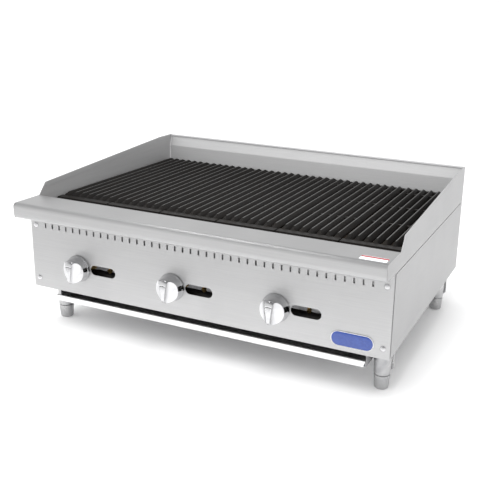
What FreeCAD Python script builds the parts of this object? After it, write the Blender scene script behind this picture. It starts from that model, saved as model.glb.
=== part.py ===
"""Countertop gas charbroiler: a stainless body on four adjustable legs, three burners
under cast radiants, six lift-off cast iron grates and a pull-out drip tray.

Frame: +X to the right seen from the front, the front faces -Y, +Z up.
The origin is at the middle of the footprint, level with the soles of the feet.
Millimetres. Each function below makes one sub-part, and the last lines write them all.
"""
import FreeCAD, Part
import math
import os

V = FreeCAD.Vector

# ---- overall sizes -------------------------------------------------------------------
width = 914.0            # over the two side walls
depth = 692.0            # front of the rail to the back sheet
leg_height = 102.0       # sole of the foot to the underside of the body
inlet_reach = 20.0       # gas nipple behind the back sheet

# ---- sheet metal ---------------------------------------------------------------------
sheet = 1.5              # outer stainless sheet
thin = 1.2               # inner aluminised sheet
bend = 1.5               # inside radius of an ordinary bend
seam_gap = 0.1           # open joint between outer panels, beyond a sheet's thickness
touch = 0.3              # gap between pieces that move past or rest on each other
flange_gap = 1.0         # gap between flanges that meet edge to edge inside the body
low_flange = 40.0        # inward flange at the foot of a side panel
top_flange = 16.0        # inward flange along its top
back_flange = 14.0       # inward flange along its rear edge
channel_upstand = 16.5   # edge of the channels and cross bars that the firebox stands on
bar_depth = 30.0         # front to back size of a floor cross bar

# ---- heights -------------------------------------------------------------------------
body_height = 187.0      # underside of the body to the underside of the rail
rail_height = 37.0
grate_drop = 9.0         # cooking surface below the rail's top
grate_thick = 19.0
wall_front_rise = 28.0   # side splash wall above the rail, at its front corner
wall_back_rise = 60.0    # and at the back

# ---- depths behind the front of the rail ---------------------------------------------
rail_overhang = 55.0     # rail front to control panel face
rail_depth = 89.0        # rail front to the grate opening
rail_bend = 12.0         # outside radius of the rail's rounded nose
rail_lower_bend = 7.0    # outside radius of its lower edge
wall_rise = 24.0         # run of the sloping front edge of the side wall
wall_level = 70.0        # level stretch at the back of the side wall's top edge
wall_hem = 12.0          # depth of the fold along the wall's top edge
wall_flange = 15.0       # flange at the wall's foot, resting on the side panel
trough = 51.0            # grate opening's front edge to the grates
grate_back_gap = 18.0    # grates' back edge to the back of the body
splash_lean = 9.0        # how far the top of the back splash leans back
splash_lean_height = 34.0    # height of the leaning part

# ---- control panel -------------------------------------------------------------------
panel_return = 6.5       # side return of the panel, seen at the corner
panel_foot = 16.0        # bottom return of the panel
back_foot = 30.0         # bottom return of the back sheet
vent_count = 42
vent_margin = 44.0       # first vent slot to the side of the body
vent_size = (4.0, 12.0)
vent_drop = 27.0         # vents below the rail
back_vent_columns = 8
back_vent_rows = (70.0, 100.0, 130.0)
back_vent_margin = 80.0
back_vent_height = 7.0
sight_size = (70.0, 24.0)
sight_offset = 70.0      # sight hole to the right of its knob
control_z = 67.0         # knobs, valves and burners share this height
sight_z = 69.5
screw_inset = 15.0       # panel screws in from the sides
screw_low = 23.0         # lower screws above the underside of the body
screw_drop = 28.0        # upper screws below the rail
screw_radius = 2.4
screw_length = 12.0
screw_dome = 8.0         # radius of the head's dome
screw_dome_set = 4.2     # how much of the dome's sphere is cut away behind the head
badge_size = (96.0, 36.0)
badge_inset = 82.0       # badge centre from the right side
badge_z = 27.0
badge_rim = 2.5
label_size = (56.0, 24.0)
label_side = 8.0         # label's edge from the right side
label_front = 12.0       # label's edge behind the rail's front

# ---- burners, radiants and valves ----------------------------------------------------
burner_count = 3
firebox_inset = 52.0     # lower firebox liner from the outside of the body
burner_margin = 15.0     # burners' share of the firebox stops this far from each liner
leg_inset = 5.0          # burner legs set this far in from a quarter of the pitch
burner_radius = 17.0
burner_wall = 2.0
burner_back_gap = 14.0   # burner's half ring to the firebox's rear wall
mouth_radius = 22.0
mouth_length = 30.0      # mouth's front edge ahead of the firebox
mouth_bell = 16.0        # straight part of the mouth
throat_gap = 8.0         # taper ends this far ahead of the firebox
shutter_wall = 1.9
shutter_width = 12.0
radiant_gap = 22.0       # radiant is narrower than half a burner pitch by this
radiant_wall = 5.0
radiant_drop = 31.0      # ridge of the radiants below the grates
radiant_height = 50.0
radiant_crown = 7.0      # half width of its flat ridge
radiant_slots = 9        # slots along each side
rack_width = 22.0        # rack angle under the radiants' ends
rack_thick = 3.0
rack_web = 15.0
firebox_setback = 110.0  # firebox's front wall behind the control panel
firebox_back_gap = 20.0  # firebox's rear wall to the back sheet
firebox_drop = 20.0      # front and rear liners' upper edge below the grates
liner_slope_start = 20.0 # side liners slope out from this far below the radiants' feet
liner_slope_end = 25.0   # to this far above them
pipe_radius = 13.335     # 3/4 inch pipe
pipe_bore = 10.5
pipe_end_cap = 6.0
pipe_turn = 30.0         # bend radius of the elbow, on its middle line
inlet_inset = 35.0       # supply pipe's middle in from the right side
inlet_collar = 4.0       # collar round the pipe where it leaves the back sheet
inlet_clearance = 1.2    # radial, between the collar and the back sheet
manifold_setback = 40.0  # manifold pipe's middle behind the control panel
valve_half = 13.0        # half the width and height of a valve's body
valve_front = 17.0       # valve's neck ahead of the manifold's middle
stem_radius = 4.0
stem_clearance = 0.06    # radial, in the valve's bore
stem_hole_clearance = 2.0    # radial, in the control panel
hood_radius = 9.0        # orifice hood across its corners
pilot_offset = 62.0      # pilot valve to the right of its burner's valve
pilot_rise = 20.0        # pilot tube above the manifold pipe
pilot_bend = 8.0
pilot_tube = 3.0
knob_base_radius = 33.0
knob_face_radius = 27.0
knob_length = 38.5
knob_skirt = 7.0
knob_gap = 0.8           # knob's back to the control panel
knob_grip = 5.0          # half the thickness of its grip at the thinnest
knob_scoop = 26.0        # radius of the two finger scoops
knob_scoop_turn = 7.0    # degrees that the scoops taper the grip
knob_nose = 14.0         # solid metal ahead of the stem's socket

# ---- grates --------------------------------------------------------------------------
grate_count = 6
grate_slack = 0.8        # gap between neighbouring grates
grate_side_gap = 2.5     # outer grates to the wall sheet
bars_per_grate = 7
bar_edge = 12.1          # first bar's crest from the grate's side
bar_width = 15.2
crest_width = 3.4
bar_shoulder = 11.5      # crest down to the foot of its slope
bar_foot_width = 6.4
rim_step = 8.0           # low step at the grate's front edge
rim_depth = 29.0         # whole front rim, under the bars' tips
back_rim = 12.0
tip_run = 20.0           # sloped front tip of a bar
tip_drop = 6.5
rib_rows = 3
rib_width = 8.0
rib_setback = 40.0       # first rib is one rib pitch behind this
rib_margin = 90.0
ledge_depth = 20.0       # front ledge under the grates
ledge_step = 8.0         # ledge above the trough in front of it

# ---- drip tray -----------------------------------------------------------------------
tray_leg_gap = 21.0      # lip's end to the middle of the leg
tray_lip_reach = 8.0     # lip beyond the pan at each end
tray_depth = 16.0
tray_drop = 36.9         # floor of the tray below the body
tray_back_gap = 52.0     # pan's rear wall to the back sheet
lip_height = 15.0
lip_top = -19.5
lip_setback = 11.0       # lip behind the control panel's face
lip_thick = 6.5
lip_slant = 5.0          # how far each end of the lip is trimmed in
lip_lean = 2.5
runner_gap = 4.5         # pan's side to the runner's web
runner_ledge = 16.5      # runner's shelf under the pan
runner_tab = 12.0        # runner's fixing flange, between the leg and the floor channel

# ---- legs ----------------------------------------------------------------------------
leg_side = 33.0          # leg axis from the side of the body
leg_front = 71.0         # front leg axis behind the panel, back leg ahead of the back
leg_top_radius = 20.0
leg_low_radius = 18.5
foot_height = 33.0
foot_radius = 18.0
foot_sole_radius = 15.8
foot_stem_radius = 6.0
foot_clearance = 0.08    # radial, between the foot's stem and the leg's bore
foot_stem_end = 24.0     # top of the stem below the top of the leg
leg_plate_reach = 23.0   # bracket plate's edge outboard of the leg axis
leg_plate_inner = 20.5   # and inboard of it
leg_pad = 3.0            # thickness of the leg's top pad and bracket plate
leg_pad_half = 24.0      # half the pad's depth
leg_chamfer = 9.0
bolt_spread = 18.0       # bolts ahead of and behind the leg's axis
bolt_radius = 3.0
bolt_head_radius = 5.5
bolt_head = 4.0
bolt_clearance = 0.3     # radial, in the sheets

# ---- planes worked out from the sizes above ------------------------------------------
half = width / 2.0
seam = sheet + seam_gap
rail_y = -(depth + inlet_reach) / 2.0
body_top = body_height
rail_top = body_top + rail_height
grate_top = rail_top - grate_drop        # cooking surface
grate_seat = grate_top - grate_thick     # underside of the grates
wall_front = rail_top + wall_front_rise
wall_back = rail_top + wall_back_rise
grate_front = rail_depth + trough
splash_back = depth - 0.5                # rear face of the back splash at its top
splash_front = splash_back - splash_lean - sheet     # its front face above the grates
manifold_y = rail_overhang + manifold_setback
lip_y = rail_overhang + lip_setback
base_z = leg_height
panel_y = rail_y + rail_overhang
back_y = rail_y + depth
inner_half = half - sheet
grate_pitch = 2.0 * (inner_half - grate_side_gap) / grate_count
grate_width = grate_pitch - grate_slack
bar_pitch = (grate_width - 2.0 * bar_edge) / (bars_per_grate - 1)
liner_half = half - firebox_inset
burner_pitch = 2.0 * (liner_half - burner_margin) / burner_count
leg_offset = burner_pitch / 4.0 - leg_inset
radiant_width = burner_pitch / 2.0 - radiant_gap
grate_back = depth - grate_back_gap
foot_top = foot_height
lip_half_width = half - leg_side - tray_leg_gap
tray_half_width = lip_half_width - tray_lip_reach
radiant_peak = grate_seat - radiant_drop
radiant_foot = radiant_peak - radiant_height
firebox_floor = 2.0 * sheet + channel_upstand
firebox_top = grate_seat - firebox_drop
firebox_y = panel_y + firebox_setback        # front face of the firebox
firebox_back = back_y - firebox_back_gap     # rear face of the firebox


def at_z(height):
    """Height above the underside of the body, as a Z of the frame."""
    return base_z + height


def at_y(distance):
    """Distance behind the front of the rail, as a Y of the frame."""
    return rail_y + distance


def burner_x(index):
    """Middle of a burner, counted from the left."""
    return (index - (burner_count - 1) / 2.0) * burner_pitch


def knob_x(index):
    """Knob, valve and inlet leg of a burner share one line."""
    return burner_x(index) - leg_offset


# ---- shape helpers -------------------------------------------------------------------
def block(x0, x1, y0, y1, z0, z1):
    return Part.makeBox(x1 - x0, y1 - y0, z1 - z0, V(x0, y0, z0))


def rod(radius, start, end):
    start, end = V(*start), V(*end)
    return Part.makeCylinder(radius, (end - start).Length, start, end - start)


def cone(radius_a, radius_b, start, end):
    start, end = V(*start), V(*end)
    return Part.makeCone(radius_a, radius_b, (end - start).Length, start, end - start)


def disc(middle, normal, radius):
    return Part.Face(Part.Wire(Part.Circle(middle, normal, radius).toShape()))


def prism(corners, run):
    """Solid with flat sides: the corners' polygon pushed along run."""
    return Part.Face(Part.makePolygon(corners + corners[:1])).extrude(run)


def fuse(shapes):
    result = shapes[0]
    if len(shapes) > 1:
        result = result.fuse(shapes[1:])
    return result.removeSplitter()


def mirrored(shape):
    return shape.mirror(V(0, 0, 0), V(1, 0, 0))


def outline(points, radii):
    """Closed flat outline with each corner rounded by its own tangent arc."""
    edges = []
    count = len(points)
    starts, ends, middles = [], [], []
    for i, point in enumerate(points):
        before = points[i - 1] - point
        after = points[(i + 1) % count] - point
        radius = radii[i]
        if radius <= 0:
            starts.append(point)
            ends.append(point)
            middles.append(None)
            continue
        before.normalize()
        after.normalize()
        angle = before.getAngle(after)
        run = radius / math.tan(angle / 2.0)
        centre_run = radius / math.sin(angle / 2.0)
        inward = before + after
        inward.normalize()
        starts.append(point + before * run)
        ends.append(point + after * run)
        middles.append(point + inward * (centre_run - radius))
    for i in range(count):
        if middles[i] is not None:
            edges.append(Part.Arc(starts[i], middles[i], ends[i]).toShape())
        following = starts[(i + 1) % count]
        if (following - ends[i]).Length > 1e-6:
            edges.append(Part.LineSegment(ends[i], following).toShape())
    return Part.Face(Part.Wire(edges))


def strip(points, thickness, radius):
    """A bent sheet's section: the run of points is one face, and the sheet lies to its
    left. radius is the inside radius of its bends, one value or one for each bend."""
    count = len(points)
    if not isinstance(radius, (list, tuple)):
        radius = [radius] * (count - 2)
    normal = (points[1] - points[0]).cross(points[2] - points[1]) if count > 2 else V(1, 0, 0)
    plane = V(abs(normal.x), abs(normal.y), abs(normal.z)) if count > 2 else normal
    plane.normalize()
    sides = []
    for a, b in zip(points, points[1:]):
        run = b - a
        run.normalize()
        sides.append(plane.cross(run))
    shifted = [points[0] + sides[0] * thickness]
    near, far = [0.0], [0.0]
    for i in range(1, count - 1):
        bisector = sides[i - 1] + sides[i]
        bisector.normalize()
        reach = thickness / bisector.dot(sides[i])
        shifted.append(points[i] + bisector * reach)
        turn = plane.dot((points[i] - points[i - 1]).cross(points[i + 1] - points[i]))
        near.append(radius[i - 1] + thickness if turn > 0 else radius[i - 1])
        far.append(radius[i - 1] if turn > 0 else radius[i - 1] + thickness)
    near[1:] = [value for value in near[1:]] + [0.0]
    far[1:] = [value for value in far[1:]] + [0.0]
    shifted.append(points[-1] + sides[-1] * thickness)
    return outline(points + shifted[::-1], near + far[::-1])


def across(points, thickness, radius, x0, x1):
    """Bent sheet running along X; points are (distance behind the rail, height)."""
    section = strip([V(x0, at_y(y), at_z(z)) for y, z in points], thickness, radius)
    return section.extrude(V(x1 - x0, 0, 0))


def side_profile(points, radii, x0, x1):
    """Flat plate square to X, cut to an outline in depth and height."""
    face = outline([V(x0, at_y(y), at_z(z)) for y, z in points], radii)
    return face.extrude(V(x1 - x0, 0, 0))


def obround(x, y0, y1, z, length, height):
    """Round-ended slot through a sheet that is square to Y."""
    radius = height / 2.0
    run = length / 2.0 - radius
    middle = block(x - run, x + run, y0, y1, z - radius, z + radius)
    ends = [rod(radius, (x + s * run, y0, z), (x + s * run, y1, z)) for s in (-1, 1)]
    return middle.fuse(ends)


# ---- outer body ----------------------------------------------------------------------
def side_panel():
    """Right side of the body, with inward flanges along its bottom, top and back."""
    x1, x0 = half, half - sheet
    y0, y1 = panel_y + panel_return + seam, back_y
    z1 = at_z(body_top - seam)
    low_front, low_back = panel_y + panel_foot + flange_gap, y1 - back_foot - flange_gap
    wall = block(x0, x1, y0, y1, at_z(0), z1)
    low = block(x0 - low_flange, x0, low_front, low_back, at_z(0), at_z(sheet))
    top = block(x0 - top_flange, x0, at_y(rail_depth + 8.0), y1 - sheet, z1 - sheet, z1)
    rear = block(x0 - back_flange, x0, y1 - sheet, y1, at_z(sheet), z1)
    return fuse([wall, low, top, rear]).cut(leg_bolt_holes())


def back_panel():
    """Back sheet with rows of vents and the hole for the gas nipple."""
    x1 = half - sheet - back_flange - flange_gap
    sheet_body = block(-x1, x1, back_y - sheet, back_y, at_z(0), at_z(body_top - seam))
    foot = block(-x1, x1, back_y - back_foot, back_y - sheet, at_z(0), at_z(sheet))
    body = fuse([sheet_body, foot])
    vents = []
    step = 2.0 * (x1 - back_vent_margin) / back_vent_columns
    for row in back_vent_rows:
        for column in range(back_vent_columns):
            x = -x1 + back_vent_margin + (column + 0.5) * step
            vents.append(obround(x, back_y - 10, back_y + 10, at_z(row), step * 0.72, back_vent_height))
    x, z = inlet_axis()
    hole_radius = pipe_radius + inlet_collar + inlet_clearance
    vents.append(rod(hole_radius, (x, back_y - 10, z), (x, back_y + 10, z)))
    return body.cut(vents)


def base_rail():
    """Right floor channel of the body, which the legs and the tray rail bolt to."""
    x0, x1 = liner_half, half - sheet - flange_gap
    y0, y1 = panel_y + panel_return + seam, back_y - back_foot - flange_gap - sheet
    z0 = at_z(sheet)
    floor = block(x0, x1, y0, y1, z0, z0 + sheet)
    inner = block(x0, x0 + sheet, y0, y1, z0 + sheet, z0 + sheet + channel_upstand)
    return fuse([floor, inner]).cut(leg_bolt_holes())


def cross_bar(y0, y1, web_y):
    """Angle across the floor, between the two channels."""
    x1, z0 = liner_half, at_z(sheet)
    floor = block(-x1, x1, y0, y1, z0, z0 + sheet)
    web = block(-x1, x1, web_y, web_y + sheet, z0 + sheet, z0 + sheet + channel_upstand)
    return fuse([floor, web])


def base_cross_bars():
    """Two angles whose upright edges carry the firebox's front and rear walls."""
    front = cross_bar(firebox_y, firebox_y + bar_depth, firebox_y)
    rear = cross_bar(firebox_back - bar_depth, firebox_back, firebox_back - sheet)
    return Part.Compound([front, rear])


def vent_x(index):
    pitch = (width - 2.0 * vent_margin) / (vent_count - 1)
    return -half + vent_margin + index * pitch


def control_panel():
    """Front sheet with side and bottom returns, vents, sight holes and stem holes."""
    y0, y1 = panel_y, panel_y + sheet
    top = at_z(body_top - 0.2)
    face = block(-half, half, y0, y1, at_z(0), top)
    low = block(-half + sheet, half - sheet, y1, y0 + panel_foot, at_z(0), at_z(sheet))
    body = [face, low]
    for side in (-1, 1):
        x0, x1 = sorted((side * half, side * (half - sheet)))
        body.append(block(x0, x1, y1, y0 + panel_return, at_z(0), top))
    cuts = []
    w, h = vent_size
    vent_low, vent_high = at_z(body_top - vent_drop - h / 2), at_z(body_top - vent_drop + h / 2)
    for i in range(vent_count):
        x = vent_x(i)
        cuts.append(block(x - w / 2, x + w / 2, y0 - 5, y1 + 5, vent_low, vent_high))
    z = at_z(control_z)
    for i in range(burner_count):
        x = knob_x(i)
        cuts.append(obround(x + sight_offset, y0 - 5, y1 + 5, at_z(sight_z), *sight_size))
        cuts.append(rod(stem_radius + stem_hole_clearance, (x, y0 - 5, z), (x, y1 + 5, z)))
    for x, z in panel_screw_places():
        cuts.append(rod(screw_radius + 0.2, (x, y0 - 5, z), (x, y1 + 5, z)))
    return fuse(body).cut(cuts)


def panel_screw_places():
    heights = (screw_low, body_top - screw_drop)
    return [(side * (half - screw_inset), at_z(z)) for side in (-1, 1) for z in heights]


def dome_screw(x, z):
    r = screw_dome
    head = Part.makeSphere(r).common(block(-r, r, -r, -screw_dome_set, -r, r))
    head.translate(V(x, panel_y + screw_dome_set, z))
    shank = rod(screw_radius, (x, panel_y - 0.5, z), (x, panel_y + screw_length, z))
    return fuse([head, shank])


def panel_screws():
    return Part.Compound([dome_screw(x, z) for x, z in panel_screw_places()])


def front_rail():
    """Rounded front rail: one sheet from under the panel's top, round the nose, back
    over the top and down into the grate opening."""
    points = [
        (rail_overhang + 14.0, body_top),
        (2.5, body_top),
        (0.0, body_top + 12.0),
        (0.0, rail_top),
        (rail_depth, rail_top),
        (rail_depth, rail_top - 20.0),
    ]
    lower, nose = rail_lower_bend - sheet, rail_bend - sheet
    x1 = half - sheet - 0.2
    return across(points[::-1], sheet, [bend, nose, 4.0, lower], -x1, x1)


def side_splash():
    """Right splash wall and rail end in one sheet, hemmed along its top edge."""
    points = [
        (rail_overhang - 0.5, body_top),
        (2.5, body_top),
        (0.0, body_top + 12.0),
        (0.0, rail_top),
        (rail_depth, rail_top),
        (rail_depth + wall_rise, wall_front),
        (depth - wall_level, wall_back),
        (depth, wall_back),
        (depth, body_top),
    ]
    top_bend = 60.0
    radii = [0, rail_lower_bend, 8.0, rail_bend, 0, 8.0, top_bend, 3.0, 0]
    wall = side_profile(points, radii, half, half - sheet)
    hem = [
        (rail_depth + wall_rise, wall_front - wall_hem),
        (rail_depth + wall_rise, wall_front),
        (depth - wall_level, wall_back),
        (depth - 6.0, wall_back),
        (depth - 6.0, wall_back - wall_hem),
        (depth - wall_level, wall_back - wall_hem),
    ]
    hem_radii = [3.0, 8.0, top_bend, 0, 0, top_bend - wall_hem]
    fold = side_profile(hem, hem_radii, half - sheet, half - 1.9 * sheet)
    x0, x1 = half - sheet - wall_flange, half - sheet
    y0, y1 = at_y(grate_front + ledge_depth + 2.0), back_y - splash_lean - 2.0 * sheet
    flange = block(x0, x1, y0, y1, at_z(body_top), at_z(body_top + sheet))
    return fuse([wall, fold, flange])


def back_splash():
    """Back splash: upright above the grates, then leaning back to a folded top hem."""
    x1 = half - 2.0 * sheet - 2.0 * touch
    rear, top = splash_back, wall_back - 0.6
    points = [
        (rear, body_top),
        (rear - splash_lean, body_top),
        (rear - splash_lean, wall_back - splash_lean_height),
        (rear, top),
    ]
    wall = across(points, sheet, [bend, 12.0], -x1, x1)
    hem_front, hem_back = at_y(rear) - 3.8 * sheet, at_y(rear) - 1.15 * sheet
    hem = block(-x1, x1, hem_front, hem_back, at_z(top - 3.7), at_z(top))
    return fuse([wall, hem]).common(block(-half, half, rail_y, back_y, at_z(0), at_z(wall_back)))


def badge():
    """Plain round-ended plate, raised in the middle."""
    length, height = badge_size
    x, z = half - badge_inset, at_z(badge_z)
    rim = obround(x, panel_y - 1.0, panel_y, z, length, height)
    inside = 2.0 * badge_rim
    field = obround(x, panel_y - 1.6, panel_y - 1.0, z, length - inside, height - inside)
    return fuse([rim, field])


def rail_label():
    """Thin blank label on the rail's top, at its right end."""
    x1, y0, z0 = half - label_side, at_y(label_front), at_z(rail_top)
    length, height = label_size
    return block(x1 - length, x1, y0, y0 + height, z0, z0 + 0.3)


# ---- controls and gas ----------------------------------------------------------------
def knob(index):
    """Round skirted knob with a finger scoop each side of its grip, and a blind socket
    for the stem."""
    x, z = knob_x(index), at_z(control_z)
    back = panel_y - knob_gap
    profile = [
        V(0, 0, 0),
        V(knob_base_radius, 0, 0),
        V(knob_base_radius, -2.5, 0),
        V(knob_base_radius - 2.0, -knob_skirt, 0),
        V(knob_face_radius + 1.0, -knob_length + 7.0, 0),
        V(knob_face_radius - 6.0, -knob_length, 0),
        V(0, -knob_length, 0),
    ]
    face_2d = outline(profile, [0, 0.6, 1.5, 5.0, 4.0, 3.0, 0])
    body = face_2d.revolve(V(0, 0, 0), V(0, 1, 0), 360)
    reach = 2.0 * knob_base_radius
    above_skirt = block(-reach, reach, -2.0 * knob_length, -knob_skirt - 3.0, -reach, reach)
    for side in (-1, 1):
        middle = V(side * (knob_scoop + knob_grip), -knob_length - 7.0, -reach)
        scoop = Part.makeCylinder(knob_scoop, 2.0 * reach, middle, V(0, 0, 1))
        scoop.rotate(V(0, 0, 0), V(0, 1, 0), side * knob_scoop_turn)
        body = body.cut(scoop.common(above_skirt))
    body.translate(V(x, back, z))
    return body.cut(rod(stem_radius, (x, stem_front(), z), (x, back + 1.0, z)))


def stem_front():
    """Front end of a valve stem, inside its knob."""
    return panel_y - knob_gap - knob_length + knob_nose


def valve_stem(index):
    """Valve stem that carries the knob and turns in the valve."""
    x, z = knob_x(index), at_z(control_z)
    return rod(stem_radius, (x, stem_front(), z), (x, at_y(manifold_y), z))


def valve_body(index):
    """Brass valve on top of the manifold, with a round bore for its stem."""
    x, z = knob_x(index), at_z(control_z)
    y, r = at_y(manifold_y), valve_half
    y0 = y - valve_front
    neck_end, nose_start = y0 + 6.0, valve_nose_start()
    body = block(x - r, x + r, neck_end, nose_start, z - r, z + r)
    neck = rod(9.0, (x, y0, z), (x, neck_end, z))
    nose = rod(8.0, (x, nose_start, z), (x, nose_start + 6.0, z))
    post = block(x - 8.0, x + 8.0, y - 8.0, y + 8.0, z - r - 7.0, z - r)
    bore = rod(stem_radius + stem_clearance, (x, y0 - 1.0, z), (x, y + 0.5, z))
    return fuse([body, neck, nose, post]).cut([bore, manifold_line(pipe_radius)])


def valve_nose_start():
    """Back face of the valves' bodies, where their noses start."""
    return at_y(manifold_y) + valve_half


def manifold_z():
    """The manifold pipe touches the undersides of the valves' bodies."""
    return at_z(control_z) - valve_half - pipe_radius


def manifold_line(radius):
    """A rod along the manifold's axis, longer than the pipe, for cutting saddles."""
    return rod(radius, (-half, at_y(manifold_y), manifold_z()), (half, at_y(manifold_y), manifold_z()))


def inlet_axis():
    """X and Z of the supply pipe that runs to the back."""
    return half - inlet_inset, manifold_z()


def manifold_pipe():
    """Capped pipe behind the control panel that feeds the three valves."""
    y, z = at_y(manifold_y), manifold_z()
    x0 = knob_x(0) - 60.0
    x1 = inlet_axis()[0] - pipe_turn
    outer = rod(pipe_radius, (x0, y, z), (x1, y, z))
    inner = rod(pipe_bore, (x0 + pipe_end_cap, y, z), (x1 + 1.0, y, z))
    return outer.cut(inner)


def gas_inlet_pipe():
    """Elbow at the manifold's end and the straight pipe to the collar and nipple at the
    back."""
    x, z = inlet_axis()
    y, end = at_y(manifold_y), back_y + inlet_reach
    start = V(x - pipe_turn, y, z)
    centre = V(x - pipe_turn, y + pipe_turn, z)

    def bent(radius):
        ring = disc(start, V(1, 0, 0), radius)
        return ring.revolve(centre, V(0, 0, 1), 90)

    turned = y + pipe_turn
    outer = [bent(pipe_radius), rod(pipe_radius, (x, turned, z), (x, end, z))]
    inner = [bent(pipe_bore), rod(pipe_bore, (x, turned, z), (x, end + 1.0, z))]
    elbow_end = rod(pipe_radius + 3.0, (x, turned, z), (x, turned + 22.0, z))
    collar = rod(pipe_radius + inlet_collar, (x, back_y - 10.0, z), (x, back_y, z))
    return fuse(outer + [elbow_end, collar]).cut(inner)


def orifice_hoods():
    """Brass orifice on the nose of each valve."""
    parts = []
    for i in range(burner_count):
        x, z, y = knob_x(i), at_z(control_z), valve_nose_start() + 6.0
        turns = [k * math.pi / 3 for k in range(6)]
        corners = [V(x + hood_radius * math.cos(a), y, z + hood_radius * math.sin(a)) for a in turns]
        nut = prism(corners, V(0, 9.0, 0))
        tip = cone(6.5, 4.0, (x, y + 9.0, z), (x, y + 17.0, z))
        hole = rod(1.4, (x, y - 1.0, z), (x, y + 18.0, z))
        parts.append(fuse([nut, tip]).cut(hole))
    return Part.Compound(parts)


def tube_path(index, radius, end_cap):
    """Burner tube: two straight legs joined by a half ring at the back."""
    x, z = burner_x(index), at_z(control_z)
    front = firebox_y - throat_gap
    far_front = firebox_y + 12.0
    back = burner_back()
    ring = disc(V(x - leg_offset, back, z), V(0, 1, 0), radius)
    bent = ring.revolve(V(x, back, z), V(0, 0, 1), -180)
    inlet = rod(radius, (x - leg_offset, front, z), (x - leg_offset, back, z))
    leg = rod(radius, (x + leg_offset, far_front + end_cap, z), (x + leg_offset, back, z))
    return [inlet, bent, leg]


def burner_back():
    """Where the burner's legs meet its half ring."""
    return firebox_back - burner_back_gap - leg_offset - burner_radius


def burner(index):
    """U-shaped burner: flared mouth at the valve, and a tube out to the back and round."""
    x, z = knob_x(index), at_z(control_z)
    mouth, throat = firebox_y - mouth_length, firebox_y - throat_gap
    bell_end = mouth + mouth_bell
    outer = fuse(tube_path(index, burner_radius, 0.0))
    bell = rod(mouth_radius, (x, mouth, z), (x, bell_end, z))
    taper = cone(mouth_radius, burner_radius, (x, bell_end, z), (x, throat, z))
    wide, narrow = mouth_radius - burner_wall, burner_radius - burner_wall
    inner = fuse(tube_path(index, narrow, 2.0 * burner_wall))
    hollow = rod(wide, (x, mouth - 1.0, z), (x, bell_end - 1.0, z))
    hollow_taper = cone(wide, narrow, (x, bell_end - 1.0, z), (x, throat + 0.5, z))
    return fuse([outer, bell, taper]).cut(fuse([inner, hollow, hollow_taper]))


def air_shutter(index):
    """Sleeve on the burner's mouth with two windows, turned to set the air."""
    x, z = knob_x(index), at_z(control_z)
    y0 = firebox_y - mouth_length + 2.0
    y1 = y0 + shutter_width
    inside = mouth_radius + touch
    sleeve = rod(inside + shutter_wall, (x, y0, z), (x, y1, z))
    hole = rod(inside, (x, y0 - 1.0, z), (x, y1 + 1.0, z))
    tab = block(x - 5.0, x + 5.0, y0, y0 + 2.0, z + inside + 1.0, z + inside + 9.0)
    reach = mouth_radius + 8.0
    windows = block(x - reach, x + reach, y0 + 4.0, y1 - 3.0, z - 8.0, z + 8.0)
    return fuse([sleeve.cut(hole), tab]).cut(windows)


def burner_rest():
    """Angle across the firebox that carries the backs of the burners."""
    y0 = burner_back() - 30.0
    z1 = at_z(control_z) - burner_radius
    x1 = liner_half
    flat = block(-x1, x1, y0, y0 + 22.0, z1 - thin, z1)
    web = block(-x1, x1, y0, y0 + thin, z1 - 24.0, z1 - thin)
    return fuse([flat, web])


def pilot_lines():
    """Pilot valve on the manifold and its tube back through the baffle, one per burner."""
    parts = []
    for i in range(burner_count):
        x, y = knob_x(i) + pilot_offset, at_y(manifold_y)
        z0, z1 = manifold_z() + pipe_radius, pilot_z()
        bend_z, bend_y = z1 - pilot_bend, y + pilot_bend
        tip_start, tip_end = firebox_y + 30.0, firebox_y + 42.0
        body = rod(5.0, (x, y, z0 - 3.0), (x, y, bend_z))
        screw = rod(3.0, (x, y - 9.0, z0 + 7.0), (x, y, z0 + 7.0))
        elbow = disc(V(x, y, bend_z), V(0, 0, 1), pilot_tube).revolve(V(x, bend_y, bend_z), V(1, 0, 0), -90)
        run = rod(pilot_tube, (x, bend_y, z1), (x, tip_start, z1))
        tip = rod(pilot_tube + 1.5, (x, tip_start, z1), (x, tip_end, z1))
        parts.append(fuse([body, screw, elbow, run, tip]).cut(manifold_line(pipe_radius)))
    return Part.Compound(parts)


def pilot_z():
    return manifold_z() + pipe_radius + pilot_rise


# ---- firebox -------------------------------------------------------------------------
def firebox_front():
    """Front wall of the firebox, with holes for the burners, the pilot tubes and a match."""
    x1 = liner_half
    body = block(-x1, x1, firebox_y, firebox_y + thin, at_z(firebox_floor), at_z(firebox_top))
    y0, y1 = firebox_y - 5.0, firebox_y + 5.0
    z = at_z(control_z)
    cuts = []
    for i in range(burner_count):
        x = knob_x(i)
        x_pilot, x_sight = x + pilot_offset, x + sight_offset + 14.0
        cuts.append(rod(burner_radius + 0.8, (x, y0, z), (x, y1, z)))
        cuts.append(rod(pilot_tube + 1.0, (x_pilot, y0, pilot_z()), (x_pilot, y1, pilot_z())))
        cuts.append(obround(x_sight, y0, y1, at_z(sight_z), 36.0, 20.0))
    return body.cut(cuts)


def firebox_rear():
    x1 = liner_half
    y0 = firebox_back - thin
    return block(-x1, x1, y0, firebox_back, at_z(firebox_floor), at_z(firebox_top))


def firebox_side():
    """Right liner: upright beside the burners, then sloping out under the grates."""
    x0, x1 = liner_half, half - 2.0 * sheet - top_flange
    top = body_top - seam - 2.0 * sheet
    low, high = radiant_foot - liner_slope_start, radiant_foot + liner_slope_end
    run = [(x0, firebox_floor), (x0, low), (x1, high), (x1, top)]
    points = [V(x, firebox_y, at_z(z)) for x, z in run]
    shifted = [p + V(thin, 0, 0) for p in points]
    return prism(points + shifted[::-1], V(0, firebox_back - firebox_y, 0))


def firebox_sides():
    right = firebox_side()
    return Part.Compound([mirrored(right), right])


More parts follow.
